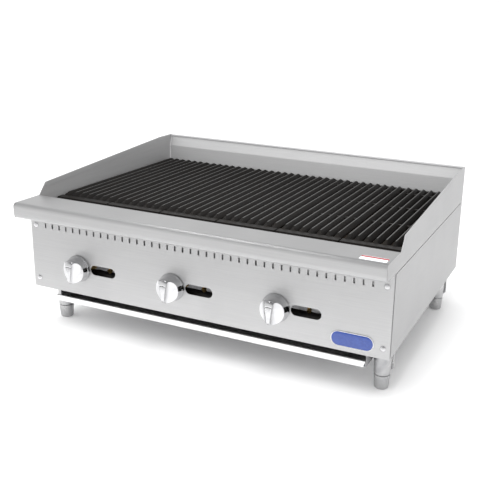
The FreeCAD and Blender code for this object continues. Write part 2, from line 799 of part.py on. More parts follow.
def grate_ledges():
    """Front and back ledges that the grates rest on."""
    top = grate_seat - touch
    x1 = half - sheet - touch
    front_run = [
        (rail_depth + 3.0, rail_top - 14.0),
        (rail_depth + 3.0, top - ledge_step),
        (grate_front - 3.0, top - ledge_step),
        (grate_front - 3.0, top),
        (grate_front + ledge_depth, top),
        (grate_front + ledge_depth, top - ledge_step + 0.5),
    ]
    front = across(front_run[::-1], sheet, bend, -x1, x1)
    x1 = half - 2.0 * sheet - wall_flange - 3.0
    upright = splash_front - 0.5 - sheet
    rear_run = [
        (grate_back - 16.0, top - 14.0),
        (grate_back - 16.0, top),
        (upright, top),
        (upright, top + 6.0),
    ]
    rear = across(rear_run[::-1], sheet, bend, -x1, x1)
    return Part.Compound([front, rear])


def radiant_rack():
    """Two angles that carry the radiants' ends."""
    x1 = liner_half
    top = at_z(radiant_foot)
    low, under = top - rack_thick - rack_web, top - rack_thick
    front = firebox_y + thin + flange_gap
    rear = firebox_back - thin - flange_gap - rack_width
    bars = []
    for y0, web_y in ((front, front), (rear, rear + rack_width - rack_thick)):
        flat = block(-x1, x1, y0, y0 + rack_width, under, top)
        upright = block(-x1, x1, web_y, web_y + rack_thick, low, under)
        bars.append(fuse([flat, upright]))
    return Part.Compound(bars)


def radiant(x):
    """Cast roof over one burner leg, with two rows of slots."""
    w, crown = radiant_width / 2.0, radiant_crown
    end_gap = thin + 4.0
    y0, y1 = firebox_y + end_gap, firebox_back - end_gap
    foot, peak = at_z(radiant_foot), at_z(radiant_peak)
    inner_w, inner_crown = w - radiant_wall * 1.3, crown - radiant_wall / 2.0
    right = [(crown, peak), (w, foot), (inner_w, foot), (inner_crown, peak - radiant_wall)]
    left = [(-a, b) for a, b in right[::-1]]
    body = prism([V(x + a, y0, b) for a, b in right + left], V(0, y1 - y0, 0))
    cuts = []
    plain_end = 20.0
    step = (y1 - y0 - 2.0 * plain_end) / radiant_slots
    for k in range(radiant_slots):
        y = y0 + plain_end + (k + 0.5) * step
        for side in (-1, 1):
            a, b = sorted((x + side * w * 0.40, x + side * w * 0.78))
            cuts.append(block(a, b, y - step * 0.18, y + step * 0.18, foot - 5, peak + 5))
    return body.cut(cuts)


def radiant_pair(index):
    x = burner_x(index)
    return Part.Compound([radiant(x - leg_offset), radiant(x + leg_offset)])


# ---- grates --------------------------------------------------------------------------
def grate_x(index):
    return (index - (grate_count - 1) / 2.0) * grate_pitch


def bar(x):
    """One bar: a crest with sloping sides, its front end sloped down to the rim."""
    c, w = crest_width / 2.0, bar_width / 2.0
    top, seat = at_z(grate_top), at_z(grate_seat)
    y0, y1 = at_y(grate_front + rim_depth - 2.0), at_y(grate_back - 3.0)
    shoulder = top - bar_shoulder
    foot = bar_foot_width / 2.0
    right = [(c, top), (w, shoulder), (w, shoulder - 2.5), (foot, seat + 0.5)]
    left = [(-a, b) for a, b in right[::-1]]
    body = prism([V(x + a, y0, b) for a, b in right + left], V(0, y1 - y0, 0))
    tips = []
    for end, inward, run, drop in ((y0, 1.0, tip_run, tip_drop), (y1, -1.0, tip_run / 2.0, 5.0)):
        outside, start = end - inward, end + inward * run
        wedge = [(outside, top + 1), (start, top + 1), (start, top), (outside, top - drop)]
        tips.append(prism([V(x - w - 1, y, z) for y, z in wedge], V(2 * w + 2, 0, 0)))
    return body.cut(tips)


def grate(index):
    """Cast iron grate: seven bars joined by cross ribs, a stepped front rim and a back
    rim. Each lies loose on the two ledges."""
    x = grate_x(index)
    x0, x1 = x - grate_width / 2.0, x + grate_width / 2.0
    seat, top = at_z(grate_seat), at_z(grate_top)
    front, back = at_y(grate_front), at_y(grate_back)
    pieces = [bar(x0 + bar_edge + k * bar_pitch) for k in range(bars_per_grate)]
    pieces.append(block(x0, x1, front, front + rim_step, seat, top - 10.5))
    pieces.append(block(x0, x1, front + rim_step, front + rim_depth, seat, top - 7.5))
    pieces.append(block(x0, x1, back - back_rim, back, seat, top - 7.0))
    rib_pitch = (grate_back - grate_front - rib_margin) / rib_rows
    first, last = x0 + bar_edge, x1 - bar_edge
    half_rib = rib_width / 2.0
    for k in range(rib_rows):
        y = at_y(grate_front + rib_setback + rib_pitch * (k + 1))
        pieces.append(block(first, last, y - half_rib, y + half_rib, seat + 1.0, top - 9.0))
    return fuse(pieces)


# ---- drip tray -----------------------------------------------------------------------
def drip_tray():
    """Shallow pan that slides out under the body."""
    x1, x2 = tray_half_width, tray_half_width - thin
    y0, y1 = at_y(lip_y + lip_thick), back_y - tray_back_gap
    z0 = at_z(-tray_drop)
    z1 = z0 + tray_depth
    outer = block(-x1, x1, y0, y1, z0, z1)
    return outer.cut(block(-x2, x2, y0 + thin, y1 - thin, z0 + thin, z1 + 1.0))


def tray_front():
    """Bright front lip of the tray, its ends trimmed at a slant, with a folded top."""
    x1 = lip_half_width
    y0 = at_y(lip_y)
    z1 = at_z(lip_top)
    z0 = z1 - lip_height
    x2 = x1 - lip_slant
    face = prism([V(-x1, y0, z1), V(x1, y0, z1), V(x2, y0, z0), V(-x2, y0, z0)], V(0, lip_thick, 0))
    fold = z1 - 2.0 * sheet
    back = y0 + lip_thick
    section = [(y0, z1), (y0 + lip_lean, z0), (y0 + lip_lean + sheet, z0), (y0 + sheet + 0.3, fold),
               (back, fold), (back, z1)]
    nose = outline([V(-x1, y, z) for y, z in section], [1.4, 0, 0, 0, 0, 0]).extrude(V(2 * x1, 0, 0))
    x3 = x1 - 14.0
    pad = block(-x3, x3, y0 + lip_lean, back, z0 + 1.0, z0 + 1.0 + sheet)
    return fuse([nose.common(face), pad.common(face)])


def tray_rail():
    """Right runner: hangs from the floor channel and carries the edge of the tray."""
    y0, y1 = at_y(lip_y + 2.0 * lip_thick), back_y - tray_back_gap + 4.0
    x0 = tray_half_width + runner_gap
    x1 = x0 + sheet
    floor, top = at_z(-tray_drop - touch), at_z(sheet)
    web = block(x0, x1, y0, y1, floor - sheet, top)
    ledge = block(x0 - runner_ledge, x0, y0, y1, floor - sheet, floor)
    tab = block(x1, x1 + runner_tab, y0, y1, top - sheet, top)
    return fuse([web, ledge, tab])


def tray_rails():
    right = tray_rail()
    return Part.Compound([mirrored(right), right])


# ---- legs ----------------------------------------------------------------------------
def leg_places():
    """Name, X and Y of each leg."""
    x = half - leg_side
    y_front, y_back = panel_y + leg_front, back_y - leg_front
    return {
        "front_left": (-x, y_front),
        "front_right": (x, y_front),
        "rear_left": (-x, y_back),
        "rear_right": (x, y_back),
    }


def leg(x, y):
    """Leg body: a tapered socket under a square pad, with a bracket plate behind it."""
    side = 1.0 if x > 0 else -1.0
    pad_top, pad_low = at_z(0), at_z(-leg_pad)
    low, plate_low = foot_top + 3.0, foot_top + 5.0
    edge_in, edge_out = x - side * leg_plate_inner, x + side * leg_plate_reach
    x0, x1 = sorted((edge_in, edge_out))
    pad = block(x0, x1, y - leg_pad_half, y + leg_pad_half, pad_low, pad_top)
    body = cone(leg_low_radius, leg_top_radius, (x, y, low), (x, y, pad_low))
    collar = rod(leg_low_radius - 1.6, (x, y, foot_top + touch), (x, y, low))
    cut_in, cut_out = edge_in + side * leg_chamfer, edge_out - side * leg_chamfer
    shape = [
        (edge_in, pad_low), (edge_out, pad_low), (edge_out, plate_low + leg_chamfer),
        (cut_out, plate_low), (cut_in, plate_low), (edge_in, plate_low + leg_chamfer),
    ]
    plate = prism([V(a, y + 8.0, b) for a, b in shape], V(0, leg_pad, 0))
    bore_radius = foot_stem_radius + foot_clearance
    bore = rod(bore_radius, (x, y, foot_top), (x, y, leg_height - foot_stem_end + 4.0))
    return fuse([pad, body, collar, plate]).cut([bore] + leg_bolt_holes())


def foot(x, y):
    """Adjustable foot: a tapered shell with a rounded sole, on a stem that screws up
    into the leg."""
    profile = [
        V(0, 0, 0), V(foot_sole_radius, 0, 0), V(foot_radius, 0, foot_top), V(0, 0, foot_top),
    ]
    shell = outline(profile, [0, 4.5, 1.0, 0]).revolve(V(0, 0, 0), V(0, 0, 1), 360)
    shell.translate(V(x, y, 0))
    stem = rod(foot_stem_radius, (x, y, foot_top - 1.0), (x, y, leg_height - foot_stem_end))
    return fuse([shell, stem])


def leg_bolt_places():
    return [(x, y + dy) for x, y in leg_places().values() for dy in (-bolt_spread, bolt_spread)]


def leg_bolt_holes():
    radius = bolt_radius + bolt_clearance
    low, high = at_z(-leg_pad) - 1.0, at_z(2.0 * sheet) + 1.0
    return [rod(radius, (x, y, low), (x, y, high)) for x, y in leg_bolt_places()]


def leg_bolts():
    """Bolts that hold the legs to the floor channels, heads inside the body."""
    seat, low = at_z(2.0 * sheet), at_z(-leg_pad)
    parts = []
    for x, y in leg_bolt_places():
        head = rod(bolt_head_radius, (x, y, seat), (x, y, seat + bolt_head))
        shank = rod(bolt_radius, (x, y, low), (x, y, seat))
        parts.append(fuse([head, shank]))
    return Part.Compound(parts)


# ---- all sub-parts -------------------------------------------------------------------
def all_parts():
    right_panel, right_splash, right_base = side_panel(), side_splash(), base_rail()
    parts = {
        "side_panel_left": mirrored(right_panel),
        "side_panel_right": right_panel,
        "back_panel": back_panel(),
        "base_channel_left": mirrored(right_base),
        "base_channel_right": right_base,
        "base_cross_bars": base_cross_bars(),
        "control_panel": control_panel(),
        "panel_screws": panel_screws(),
        "front_rail": front_rail(),
        "side_splash_left": mirrored(right_splash),
        "side_splash_right": right_splash,
        "back_splash": back_splash(),
        "badge_plate": badge(),
        "rail_label": rail_label(),
        "manifold_pipe": manifold_pipe(),
        "gas_inlet_pipe": gas_inlet_pipe(),
        "orifice_hoods": orifice_hoods(),
        "burner_rest": burner_rest(),
        "pilot_lines": pilot_lines(),
        "firebox_front": firebox_front(),
        "firebox_rear": firebox_rear(),
        "firebox_sides": firebox_sides(),
        "grate_ledges": grate_ledges(),
        "radiant_rack": radiant_rack(),
        "drip_tray": drip_tray(),
        "tray_front": tray_front(),
        "tray_rails": tray_rails(),
        "leg_bolts": leg_bolts(),
    }
    for i in range(burner_count):
        parts["knob_%d" % (i + 1)] = knob(i)
        parts["valve_stem_%d" % (i + 1)] = valve_stem(i)
        parts["valve_body_%d" % (i + 1)] = valve_body(i)
        parts["burner_%d" % (i + 1)] = burner(i)
        parts["air_shutter_%d" % (i + 1)] = air_shutter(i)
        parts["radiants_%d" % (i + 1)] = radiant_pair(i)
    for i in range(grate_count):
        parts["grate_%d" % (i + 1)] = grate(i)
    for name, (x, y) in leg_places().items():
        parts["leg_" + name] = leg(x, y)
        parts["foot_" + name] = foot(x, y)
    return parts


os.makedirs("parts", exist_ok=True)
for node, shape in all_parts().items():
    shape.exportStep("parts/%s.step" % node)
    print(node, "solids", len(shape.Solids), "valid", shape.isValid(), "cm3 %.1f" % (shape.Volume / 1000.0))
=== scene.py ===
# %% [markdown]
# # Countertop gas charbroiler
# The measured model of the grill is loaded first, as a fixed frame. Every piece made
# below goes where that frame says, in metres: X to the right, Y to the back, Z up.

import math

import bmesh
import bpy
from mathutils import Matrix, Vector


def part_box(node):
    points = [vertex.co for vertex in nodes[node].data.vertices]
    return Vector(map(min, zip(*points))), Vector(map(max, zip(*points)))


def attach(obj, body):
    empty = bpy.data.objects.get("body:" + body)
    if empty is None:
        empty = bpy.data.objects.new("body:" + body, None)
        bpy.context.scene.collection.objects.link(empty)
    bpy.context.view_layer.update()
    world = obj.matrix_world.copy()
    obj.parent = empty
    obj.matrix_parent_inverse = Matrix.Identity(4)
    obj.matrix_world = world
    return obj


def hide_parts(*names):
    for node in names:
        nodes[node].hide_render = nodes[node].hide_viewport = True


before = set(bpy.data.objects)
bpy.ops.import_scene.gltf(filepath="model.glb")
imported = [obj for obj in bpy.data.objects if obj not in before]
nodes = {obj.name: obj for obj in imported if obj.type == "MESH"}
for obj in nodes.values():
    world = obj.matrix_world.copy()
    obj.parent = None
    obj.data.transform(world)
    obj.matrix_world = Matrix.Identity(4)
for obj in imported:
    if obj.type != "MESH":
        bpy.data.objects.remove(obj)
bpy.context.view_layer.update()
print("frame:", len(nodes), "nodes")

# %% [markdown]
# ## Camera
# A product shot of a low, wide machine is taken from a little above and to one side, with
# a long lens, so the front stays nearly square. The three columns of the turn are the
# camera's own right, up and backward directions.

# %% Camera
camera_data = bpy.data.cameras.new("shot_camera")
camera_data.lens = 55.293
camera_data.sensor_width = 36.0
camera_data.shift_x = -0.080
camera_data.shift_y = -0.045
camera_data.clip_start = 0.05
camera_data.clip_end = 200.0
camera = bpy.data.objects.new("shot_camera", camera_data)
bpy.context.scene.collection.objects.link(camera)
camera_right = Vector((0.914856, 0.402837, 0.027596))
camera_up = Vector((-0.141818, 0.256578, 0.956063))
camera_turn = Matrix((camera_right, camera_up, camera_right.cross(camera_up))).transposed()
camera.matrix_world = Matrix.Translation((0.825762, -1.690461, 0.814323)) @ camera_turn.to_4x4()
bpy.context.scene.camera = camera
print("camera", [round(value, 3) for value in camera.location])

# %% [markdown]
# ## Bench tools
# The same few moves come back in every piece: put things down, take one piece, pick its
# corners by where they are, and fasten a finished piece to the body it moves with.
# Picking by place keeps working when a size changes, which picking by number doesn't.

# %% Bench tools: take, pick and run a modifier
MM = 0.001


def mm(*values):
    """Millimetres to a vector in metres."""
    return Vector(values) * MM


def near(a, b, slack=0.02 * MM):
    return abs(a - b) < slack


def take(*pieces):
    """Put everything down, then hold only these pieces, the first one active."""
    bpy.ops.object.select_all(action="DESELECT")
    for piece in pieces:
        piece.select_set(True)
    bpy.context.view_layer.objects.active = pieces[0]


def settle(piece):
    """Move the object's own place, turn and scale into its mesh."""
    take(piece)
    bpy.ops.object.transform_apply(location=True, rotation=True, scale=True)


def edit(piece):
    take(piece)
    bpy.ops.object.mode_set(mode="EDIT")


def leave():
    bpy.ops.object.mode_set(mode="OBJECT")


def pick(piece, kind, wanted):
    """In edit mode, select the VERT items, EDGE ends or FACE middles that are wanted."""
    bpy.ops.mesh.select_mode(type=kind)
    bpy.ops.mesh.select_all(action="DESELECT")
    mesh = bmesh.from_edit_mesh(piece.data)
    items = {"VERT": mesh.verts, "EDGE": mesh.edges, "FACE": mesh.faces}[kind]
    for item in items:
        if kind == "FACE":
            places = [item.calc_center_median()]
        else:
            places = [item.co] if kind == "VERT" else [corner.co for corner in item.verts]
        if all(wanted(place) for place in places):
            item.select_set(True)
    bmesh.update_edit_mesh(piece.data)


def shift(x=0.0, y=0.0, z=0.0):
    bpy.ops.transform.translate(value=mm(x, y, z))


def scale_about(centre, x=1.0, y=1.0, z=1.0):
    bpy.ops.transform.resize(value=(x, y, z), center_override=centre)


def pull(x=0.0, y=0.0, z=0.0):
    """Extrude what is picked by so many millimetres."""
    bpy.ops.mesh.extrude_region_move(TRANSFORM_OT_translate={"value": mm(x, y, z)})


def run_modifier(piece, kind, **settings):
    """Add a modifier, set it and apply it."""
    take(piece)
    modifier = piece.modifiers.new(kind.lower(), kind)
    for name, value in settings.items():
        setattr(modifier, name, value)
    bpy.ops.object.modifier_apply(modifier=modifier.name)


def round_edges(piece, width, segments=2, angle=28.0):
    """Break every edge sharper than the angle, as a file or a casting does."""
    run_modifier(
        piece, "BEVEL", width=width * MM, segments=segments, limit_method="ANGLE",
        angle_limit=math.radians(angle), use_clamp_overlap=True,
    )


def outward(piece):
    """Merge doubled corners and point every face outwards."""
    edit(piece)
    bpy.ops.mesh.select_all(action="SELECT")
    bpy.ops.mesh.remove_doubles(threshold=0.002 * MM)
    bpy.ops.mesh.normals_make_consistent(inside=False)
    leave()


def join(name, pieces):
    take(*pieces)
    bpy.ops.object.join()
    pieces[0].name = name
    return pieces[0]


def copy_piece(piece, name, move):
    """A copy with a mesh of its own, moved by so many millimetres."""
    twin = piece.copy()
    twin.data = piece.data.copy()
    twin.name = name
    bpy.context.scene.collection.objects.link(twin)
    twin.data.transform(Matrix.Translation(move * MM))
    return twin


print("bench tools ready")

# %% [markdown]
# ## Starting shapes
# Three starting shapes cover a machine like this. A block is sawn from bar. A turned
# piece is a disc pulled out ring by ring, as on a lathe. A folded sheet starts as one
# strip, and each next strip is pulled from its edge, as on a press brake, before the
# folds are rounded and the sheet gets its thickness.

# %% Starting shapes


def block(name, low, high):
    """A block between two corners, given in millimetres."""
    low, high = mm(*low), mm(*high)
    bpy.ops.object.select_all(action="DESELECT")
    bpy.ops.mesh.primitive_cube_add(size=1.0, location=(low + high) / 2.0)
    piece = bpy.context.object
    piece.name = name
    piece.scale = high - low
    settle(piece)
    return piece


AXES = {"X": Vector((1, 0, 0)), "Y": Vector((0, 1, 0)), "Z": Vector((0, 0, 1))}
TURNS = {"X": (0, math.pi / 2, 0), "Y": (-math.pi / 2, 0, 0), "Z": (0, 0, 0)}


def turned(name, centre, axis, rings, sides=48):
    """A solid of revolution. rings are (place along the axis, radius) in millimetres."""
    direction = AXES[axis]
    centre = mm(*centre)
    start, radius = rings[0]
    bpy.ops.object.select_all(action="DESELECT")
    bpy.ops.mesh.primitive_circle_add(
        vertices=sides, radius=radius * MM, fill_type="NGON",
        location=centre + direction * start * MM, rotation=TURNS[axis],
    )
    piece = bpy.context.object
    piece.name = name
    settle(piece)
    edit(piece)
    bpy.ops.mesh.select_mode(type="FACE")
    bpy.ops.mesh.select_all(action="SELECT")
    for place, next_radius in rings[1:]:
        step = direction * (place - start)
        pull(*step)
        ratio = next_radius / radius
        scale_about(centre + direction * place * MM, ratio, ratio, ratio)
        start, radius = place, next_radius
    leave()
    outward(piece)
    return piece


def plate(name, x, points, radii, thickness):
    """A flat plate across X, cut to the outline of (Y, Z) points with rounded corners.
    It is thickened towards smaller X."""
    bpy.ops.object.select_all(action="DESELECT")
    bpy.ops.mesh.primitive_circle_add(vertices=len(points), radius=0.1, fill_type="NGON")
    piece = bpy.context.object
    piece.name = name
    edit(piece)
    bpy.ops.mesh.select_mode(type="VERT")
    for index, (y, z) in enumerate(points):
        bpy.ops.mesh.select_all(action="DESELECT")
        mesh = bmesh.from_edit_mesh(piece.data)
        mesh.verts.ensure_lookup_table()
        corner = mesh.verts[index]
        corner.select_set(True)
        step = mm(x, y, z) - corner.co
        bmesh.update_edit_mesh(piece.data)
        bpy.ops.transform.translate(value=step)
    round_corners(piece, points, radii, closed=True)
    bpy.ops.mesh.select_all(action="SELECT")
    bpy.ops.mesh.normals_make_consistent(inside=False)
    if bmesh.from_edit_mesh(piece.data).faces[:][0].normal.x < 0:
        bpy.ops.mesh.flip_normals()
    leave()
    run_modifier(piece, "SOLIDIFY", thickness=thickness * MM, offset=-1.0)
    return piece


def turn_at(points, index, closed):
    """How much the outline turns at a point, in radians."""
    count = len(points)
    before, here, after = points[(index - 1) % count], points[index], points[(index + 1) % count]
    first = Vector((here[0] - before[0], here[1] - before[1]))
    second = Vector((after[0] - here[0], after[1] - here[1]))
    return abs(first.angle_signed(second))


def round_corners(piece, points, radii, closed=False):
    """Round each corner of an outline, or each fold of a sheet, to its own radius."""
    kind = "VERT" if closed else "EDGE"
    for index, radius in enumerate(radii):
        if radius <= 0:
            continue
        y, z = points[index]
        pick(piece, kind, lambda co: near(co.y, y * MM) and near(co.z, z * MM))
        run = radius * math.tan(turn_at(points, index, closed) / 2.0)
        steps = max(3, int(math.degrees(turn_at(points, index, closed)) / 9.0))
        bpy.ops.mesh.bevel(
            offset=run * MM, segments=steps, affect="VERTICES" if closed else "EDGES",
            offset_type="OFFSET" if not closed else "WIDTH", clamp_overlap=False,
        )


def folded(name, x0, x1, points, radii, face_up):
    """A folded sheet without thickness: (Y, Z) points of its outer line, one radius each.
    face_up is a direction that its longest face should look towards."""
    (ya, za), (yb, zb) = points[0], points[1]
    bpy.ops.object.select_all(action="DESELECT")
    bpy.ops.mesh.primitive_plane_add(size=1.0)
    piece = bpy.context.object
    piece.name = name
    piece.location = mm((x0 + x1) / 2.0, (ya + yb) / 2.0, (za + zb) / 2.0)
    piece.rotation_euler = (math.atan2(zb - za, yb - ya), 0, 0)
    piece.scale = mm(x1 - x0, math.hypot(yb - ya, zb - za), 1000.0)
    settle(piece)
    edit(piece)
    pick(piece, "EDGE", lambda co: near(co.y, yb * MM) and near(co.z, zb * MM))
    for (y, z), (next_y, next_z) in zip(points[1:], points[2:]):
        pull(0, next_y - y, next_z - z)
    bpy.ops.mesh.select_all(action="SELECT")
    bpy.ops.mesh.normals_make_consistent(inside=False)
    largest = max(bmesh.from_edit_mesh(piece.data).faces, key=lambda face: face.calc_area())
    if largest.normal.dot(Vector(face_up)) < 0:
        bpy.ops.mesh.flip_normals()
    round_corners(piece, points, radii)
    leave()
    return piece


print("starting shapes ready")

# %% [markdown]
# ## Finishing tools
# A node group is a finish effect with its own inputs and outputs. It is built once and
# put into many materials with other values, so brushed steel on the rail and on the side
# walls share one grain that only runs another way.

# %% Finishing tools


def node(tree, kind, **settings):
    made = tree.nodes.new("ShaderNode" + kind)
    for name, value in settings.items():
        setattr(made, name, value)
    return made


def new_group(name, inputs, outputs):
    """A shader node group. inputs are (name, socket type, value)."""
    tree = bpy.data.node_groups.new(name, "ShaderNodeTree")
    for label, kind, value in inputs:
        socket = tree.interface.new_socket(label, in_out="INPUT", socket_type=kind)
        if value is not None:
            socket.default_value = value
    for label, kind in outputs:
        tree.interface.new_socket(label, in_out="OUTPUT", socket_type=kind)
    return tree, tree.nodes.new("NodeGroupInput"), tree.nodes.new("NodeGroupOutput")


def use_group(tree, group, **values):
    made = tree.nodes.new("ShaderNodeGroup")
    made.node_tree = group
    for name, value in values.items():
        made.inputs[name.replace("_", " ")].default_value = value
    return made


def spread(tree, value, low, high):
    """A 0 to 1 mask spread over another range."""
    made = node(tree, "MapRange")
    tree.links.new(value, made.inputs["Value"])
    made.inputs["To Min"].default_value = low
    made.inputs["To Max"].default_value = high
    return made.outputs["Result"]


def tint(tree, mask, colour_a, colour_b):
    """Mix two colours by a mask. A colour is three numbers or another node's output."""
    made = node(tree, "Mix", data_type="RGBA")
    tree.links.new(mask, made.inputs[0])
    for socket, colour in ((made.inputs[6], colour_a), (made.inputs[7], colour_b)):
        if isinstance(colour, tuple):
            socket.default_value = (*colour, 1.0)
        else:
            tree.links.new(colour, socket)
    return made.outputs[2]


def combine(tree, operation, a, b):
    """A Math node on two outputs or numbers."""
    made = node(tree, "Math", operation=operation)
    for socket, value in zip(made.inputs, (a, b)):
        if isinstance(value, (int, float)):
            socket.default_value = value
        else:
            tree.links.new(value, socket)
    return made.outputs[0]


def new_finish(name, metallic):
    """A material, its node tree, its shader and the piece's own coordinates."""
    material = bpy.data.materials.new(name)
    material.use_nodes = True
    tree = material.node_tree
    shader = tree.nodes["Principled BSDF"]
    shader.inputs["Metallic"].default_value = metallic
    return material, tree, shader, node(tree, "TexCoord").outputs["Object"]


def raise_grain(tree, shader, height, strength, depth):
    """Turn a height into small bumps of so many millimetres."""
    made = node(tree, "Bump")
    made.inputs["Strength"].default_value = strength
    made.inputs["Distance"].default_value = depth * MM
    tree.links.new(height, made.inputs["Height"])
    tree.links.new(made.outputs["Normal"], shader.inputs["Normal"])


print("finishing tools ready")

# %% [markdown]
# ## Effect: brushed grain
# Stainless sheet is brushed along its length, which leaves fine lines a fraction of a
# millimetre wide and several centimetres long. Noise stretched along one axis gives them.
# Two sizes are mixed, because real brushing has coarse strokes among the fine ones.

# %% Brushed grain group
brushed_grain, group_in, group_out = new_group(
    "Brushed grain",
    [("Coordinates", "NodeSocketVector", None), ("Stretch", "NodeSocketVector", (8, 600, 600))],
    [("Grain", "NodeSocketFloat"), ("Height", "NodeSocketFloat")],
)
coarse_place = node(brushed_grain, "VectorMath", operation="MULTIPLY")
brushed_grain.links.new(group_in.outputs["Coordinates"], coarse_place.inputs[0])
brushed_grain.links.new(group_in.outputs["Stretch"], coarse_place.inputs[1])
fine_place = node(brushed_grain, "VectorMath", operation="MULTIPLY")
brushed_grain.links.new(coarse_place.outputs[0], fine_place.inputs[0])
fine_place.inputs[1].default_value = (4.3, 4.3, 4.3)
coarse_lines = node(brushed_grain, "TexNoise")
fine_lines = node(brushed_grain, "TexNoise")
for lines, place in ((coarse_lines, coarse_place), (fine_lines, fine_place)):
    lines.inputs["Scale"].default_value = 1.0
    lines.inputs["Detail"].default_value = 2.0
    brushed_grain.links.new(place.outputs[0], lines.inputs["Vector"])
half_coarse = combine(brushed_grain, "MULTIPLY", coarse_lines.outputs[0], 0.55)
both_lines = node(brushed_grain, "Math", operation="MULTIPLY_ADD")
brushed_grain.links.new(fine_lines.outputs[0], both_lines.inputs[0])
both_lines.inputs[1].default_value = 0.45
brushed_grain.links.new(half_coarse, both_lines.inputs[2])
brushed_grain.links.new(both_lines.outputs[0], group_out.inputs["Grain"])
brushed_grain.links.new(fine_lines.outputs[0], group_out.inputs["Height"])
print("group:", brushed_grain.name)

# %% [markdown]
# ## Effect: handling marks
# Bare metal in a kitchen is wiped and touched, so its gloss drifts over a hand's width,
# with smaller smears inside. One distorted noise gives the mask. On sheet it only changes
# how rough the metal is, since a smear on steel hardly has a colour of its own.

# %% Handling marks group
handling_marks, group_in, group_out = new_group(
    "Handling marks",
    [("Coordinates", "NodeSocketVector", None), ("Size", "NodeSocketFloat", 7.0)],
    [("Marks", "NodeSocketFloat")],
)
broad_marks = node(handling_marks, "TexNoise")
broad_marks.inputs["Detail"].default_value = 3.0
broad_marks.inputs["Distortion"].default_value = 0.8
handling_marks.links.new(group_in.outputs["Coordinates"], broad_marks.inputs["Vector"])
handling_marks.links.new(group_in.outputs["Size"], broad_marks.inputs["Scale"])
mark_range = node(handling_marks, "MapRange")
mark_range.inputs["From Min"].default_value = 0.36
mark_range.inputs["From Max"].default_value = 0.68
handling_marks.links.new(broad_marks.outputs[0], mark_range.inputs["Value"])
handling_marks.links.new(mark_range.outputs[0], group_out.inputs["Marks"])
print("group:", handling_marks.name)

# %% [markdown]
# ## Effect: cast skin
# Iron poured in sand keeps the sand's texture: grains about a millimetre across and a few
# deeper pits. Noise gives the grains, the far points of Voronoi cells give the pits, and a
# slower noise gives the patches of burnt-on oil that make one bar browner than the next.

# %% Cast skin group
cast_skin, group_in, group_out = new_group(
    "Cast skin",
    [("Coordinates", "NodeSocketVector", None), ("Grain", "NodeSocketFloat", 900.0)],
    [("Mottle", "NodeSocketFloat"), ("Height", "NodeSocketFloat")],
)
sand = node(cast_skin, "TexNoise")
sand.inputs["Detail"].default_value = 3.0
cast_skin.links.new(group_in.outputs["Coordinates"], sand.inputs["Vector"])
cast_skin.links.new(group_in.outputs["Grain"], sand.inputs["Scale"])
pits = node(cast_skin, "TexVoronoi")
cast_skin.links.new(group_in.outputs["Coordinates"], pits.inputs["Vector"])
cast_skin.links.new(combine(cast_skin, "MULTIPLY", group_in.outputs["Grain"], 0.4), pits.inputs["Scale"])
patches = node(cast_skin, "TexNoise")
patches.inputs["Detail"].default_value = 4.0
cast_skin.links.new(group_in.outputs["Coordinates"], patches.inputs["Vector"])
cast_skin.links.new(combine(cast_skin, "MULTIPLY", group_in.outputs["Grain"], 0.05), patches.inputs["Scale"])
pit_depth = combine(cast_skin, "MULTIPLY", combine(cast_skin, "MINIMUM", pits.outputs[0], 0.3), 1.2)
cast_skin.links.new(combine(cast_skin, "ADD", sand.outputs[0], pit_depth), group_out.inputs["Height"])
cast_skin.links.new(patches.outputs[0], group_out.inputs["Mottle"])
print("group:", cast_skin.name)

# %% [markdown]
# ## Effect: height fade
# A painted highlight and heat both follow height on this machine: the crests of the grates
# get a painted highlight, and the firebox discolours towards its top. One group fades from 0
# to 1 between two heights and breaks the edge up with noise.

# %% Height fade group
height_fade, group_in, group_out = new_group(
    "Height fade",
    [
        ("Coordinates", "NodeSocketVector", None),
        ("Low", "NodeSocketFloat", 0.1),
        ("High", "NodeSocketFloat", 0.2),
        ("Break up", "NodeSocketFloat", 40.0),
    ],
    [("Fade", "NodeSocketFloat")],
)
up_down = node(height_fade, "SeparateXYZ")
height_fade.links.new(group_in.outputs["Coordinates"], up_down.inputs[0])
fade_range = node(height_fade, "MapRange", interpolation_type="SMOOTHSTEP")
height_fade.links.new(up_down.outputs["Z"], fade_range.inputs["Value"])
height_fade.links.new(group_in.outputs["Low"], fade_range.inputs["From Min"])
height_fade.links.new(group_in.outputs["High"], fade_range.inputs["From Max"])
ragged = node(height_fade, "TexNoise")
ragged.inputs["Detail"].default_value = 3.0
height_fade.links.new(group_in.outputs["Coordinates"], ragged.inputs["Vector"])
height_fade.links.new(group_in.outputs["Break up"], ragged.inputs["Scale"])
ragged_range = spread(height_fade, ragged.outputs[0], 0.45, 1.35)
faded = combine(height_fade, "MULTIPLY", fade_range.outputs[0], ragged_range)
height_fade.links.new(combine(height_fade, "MINIMUM", faded, 1.0), group_out.inputs["Fade"])
print("group:", height_fade.name)

# %% [markdown]
# ## Stainless sheet
# The body is brushed stainless, dull enough to blur what it reflects. The rail, panel and
# back splash are brushed from side to side, and the side sheets from front to back, so the
# materials share the effect groups and differ in the direction and paleness of the grain.
# The darker side sheet copy is painted shade and the paler back splash copy is painted light.

# %% Stainless sheet finishes


def brushed_steel(name, stretch, dark, light, rough, grain_depth=0.02, metallic=0.94):
    material, tree, shader, place = new_finish(name, metallic)
    grain = use_group(tree, brushed_grain, Stretch=stretch)
    marks = use_group(tree, handling_marks, Size=6.0)
    for effect in (grain, marks):
        tree.links.new(place, effect.inputs["Coordinates"])
    colour = tint(tree, grain.outputs["Grain"], dark, light)
    tree.links.new(colour, shader.inputs["Base Color"])
    from_grain = spread(tree, grain.outputs["Grain"], rough - 0.09, rough + 0.07)
    from_marks = spread(tree, marks.outputs["Marks"], -0.02, 0.05)
    tree.links.new(combine(tree, "ADD", from_grain, from_marks), shader.inputs["Roughness"])
    raise_grain(tree, shader, grain.outputs["Height"], 0.25, grain_depth)
    print("finish:", name)
    return material


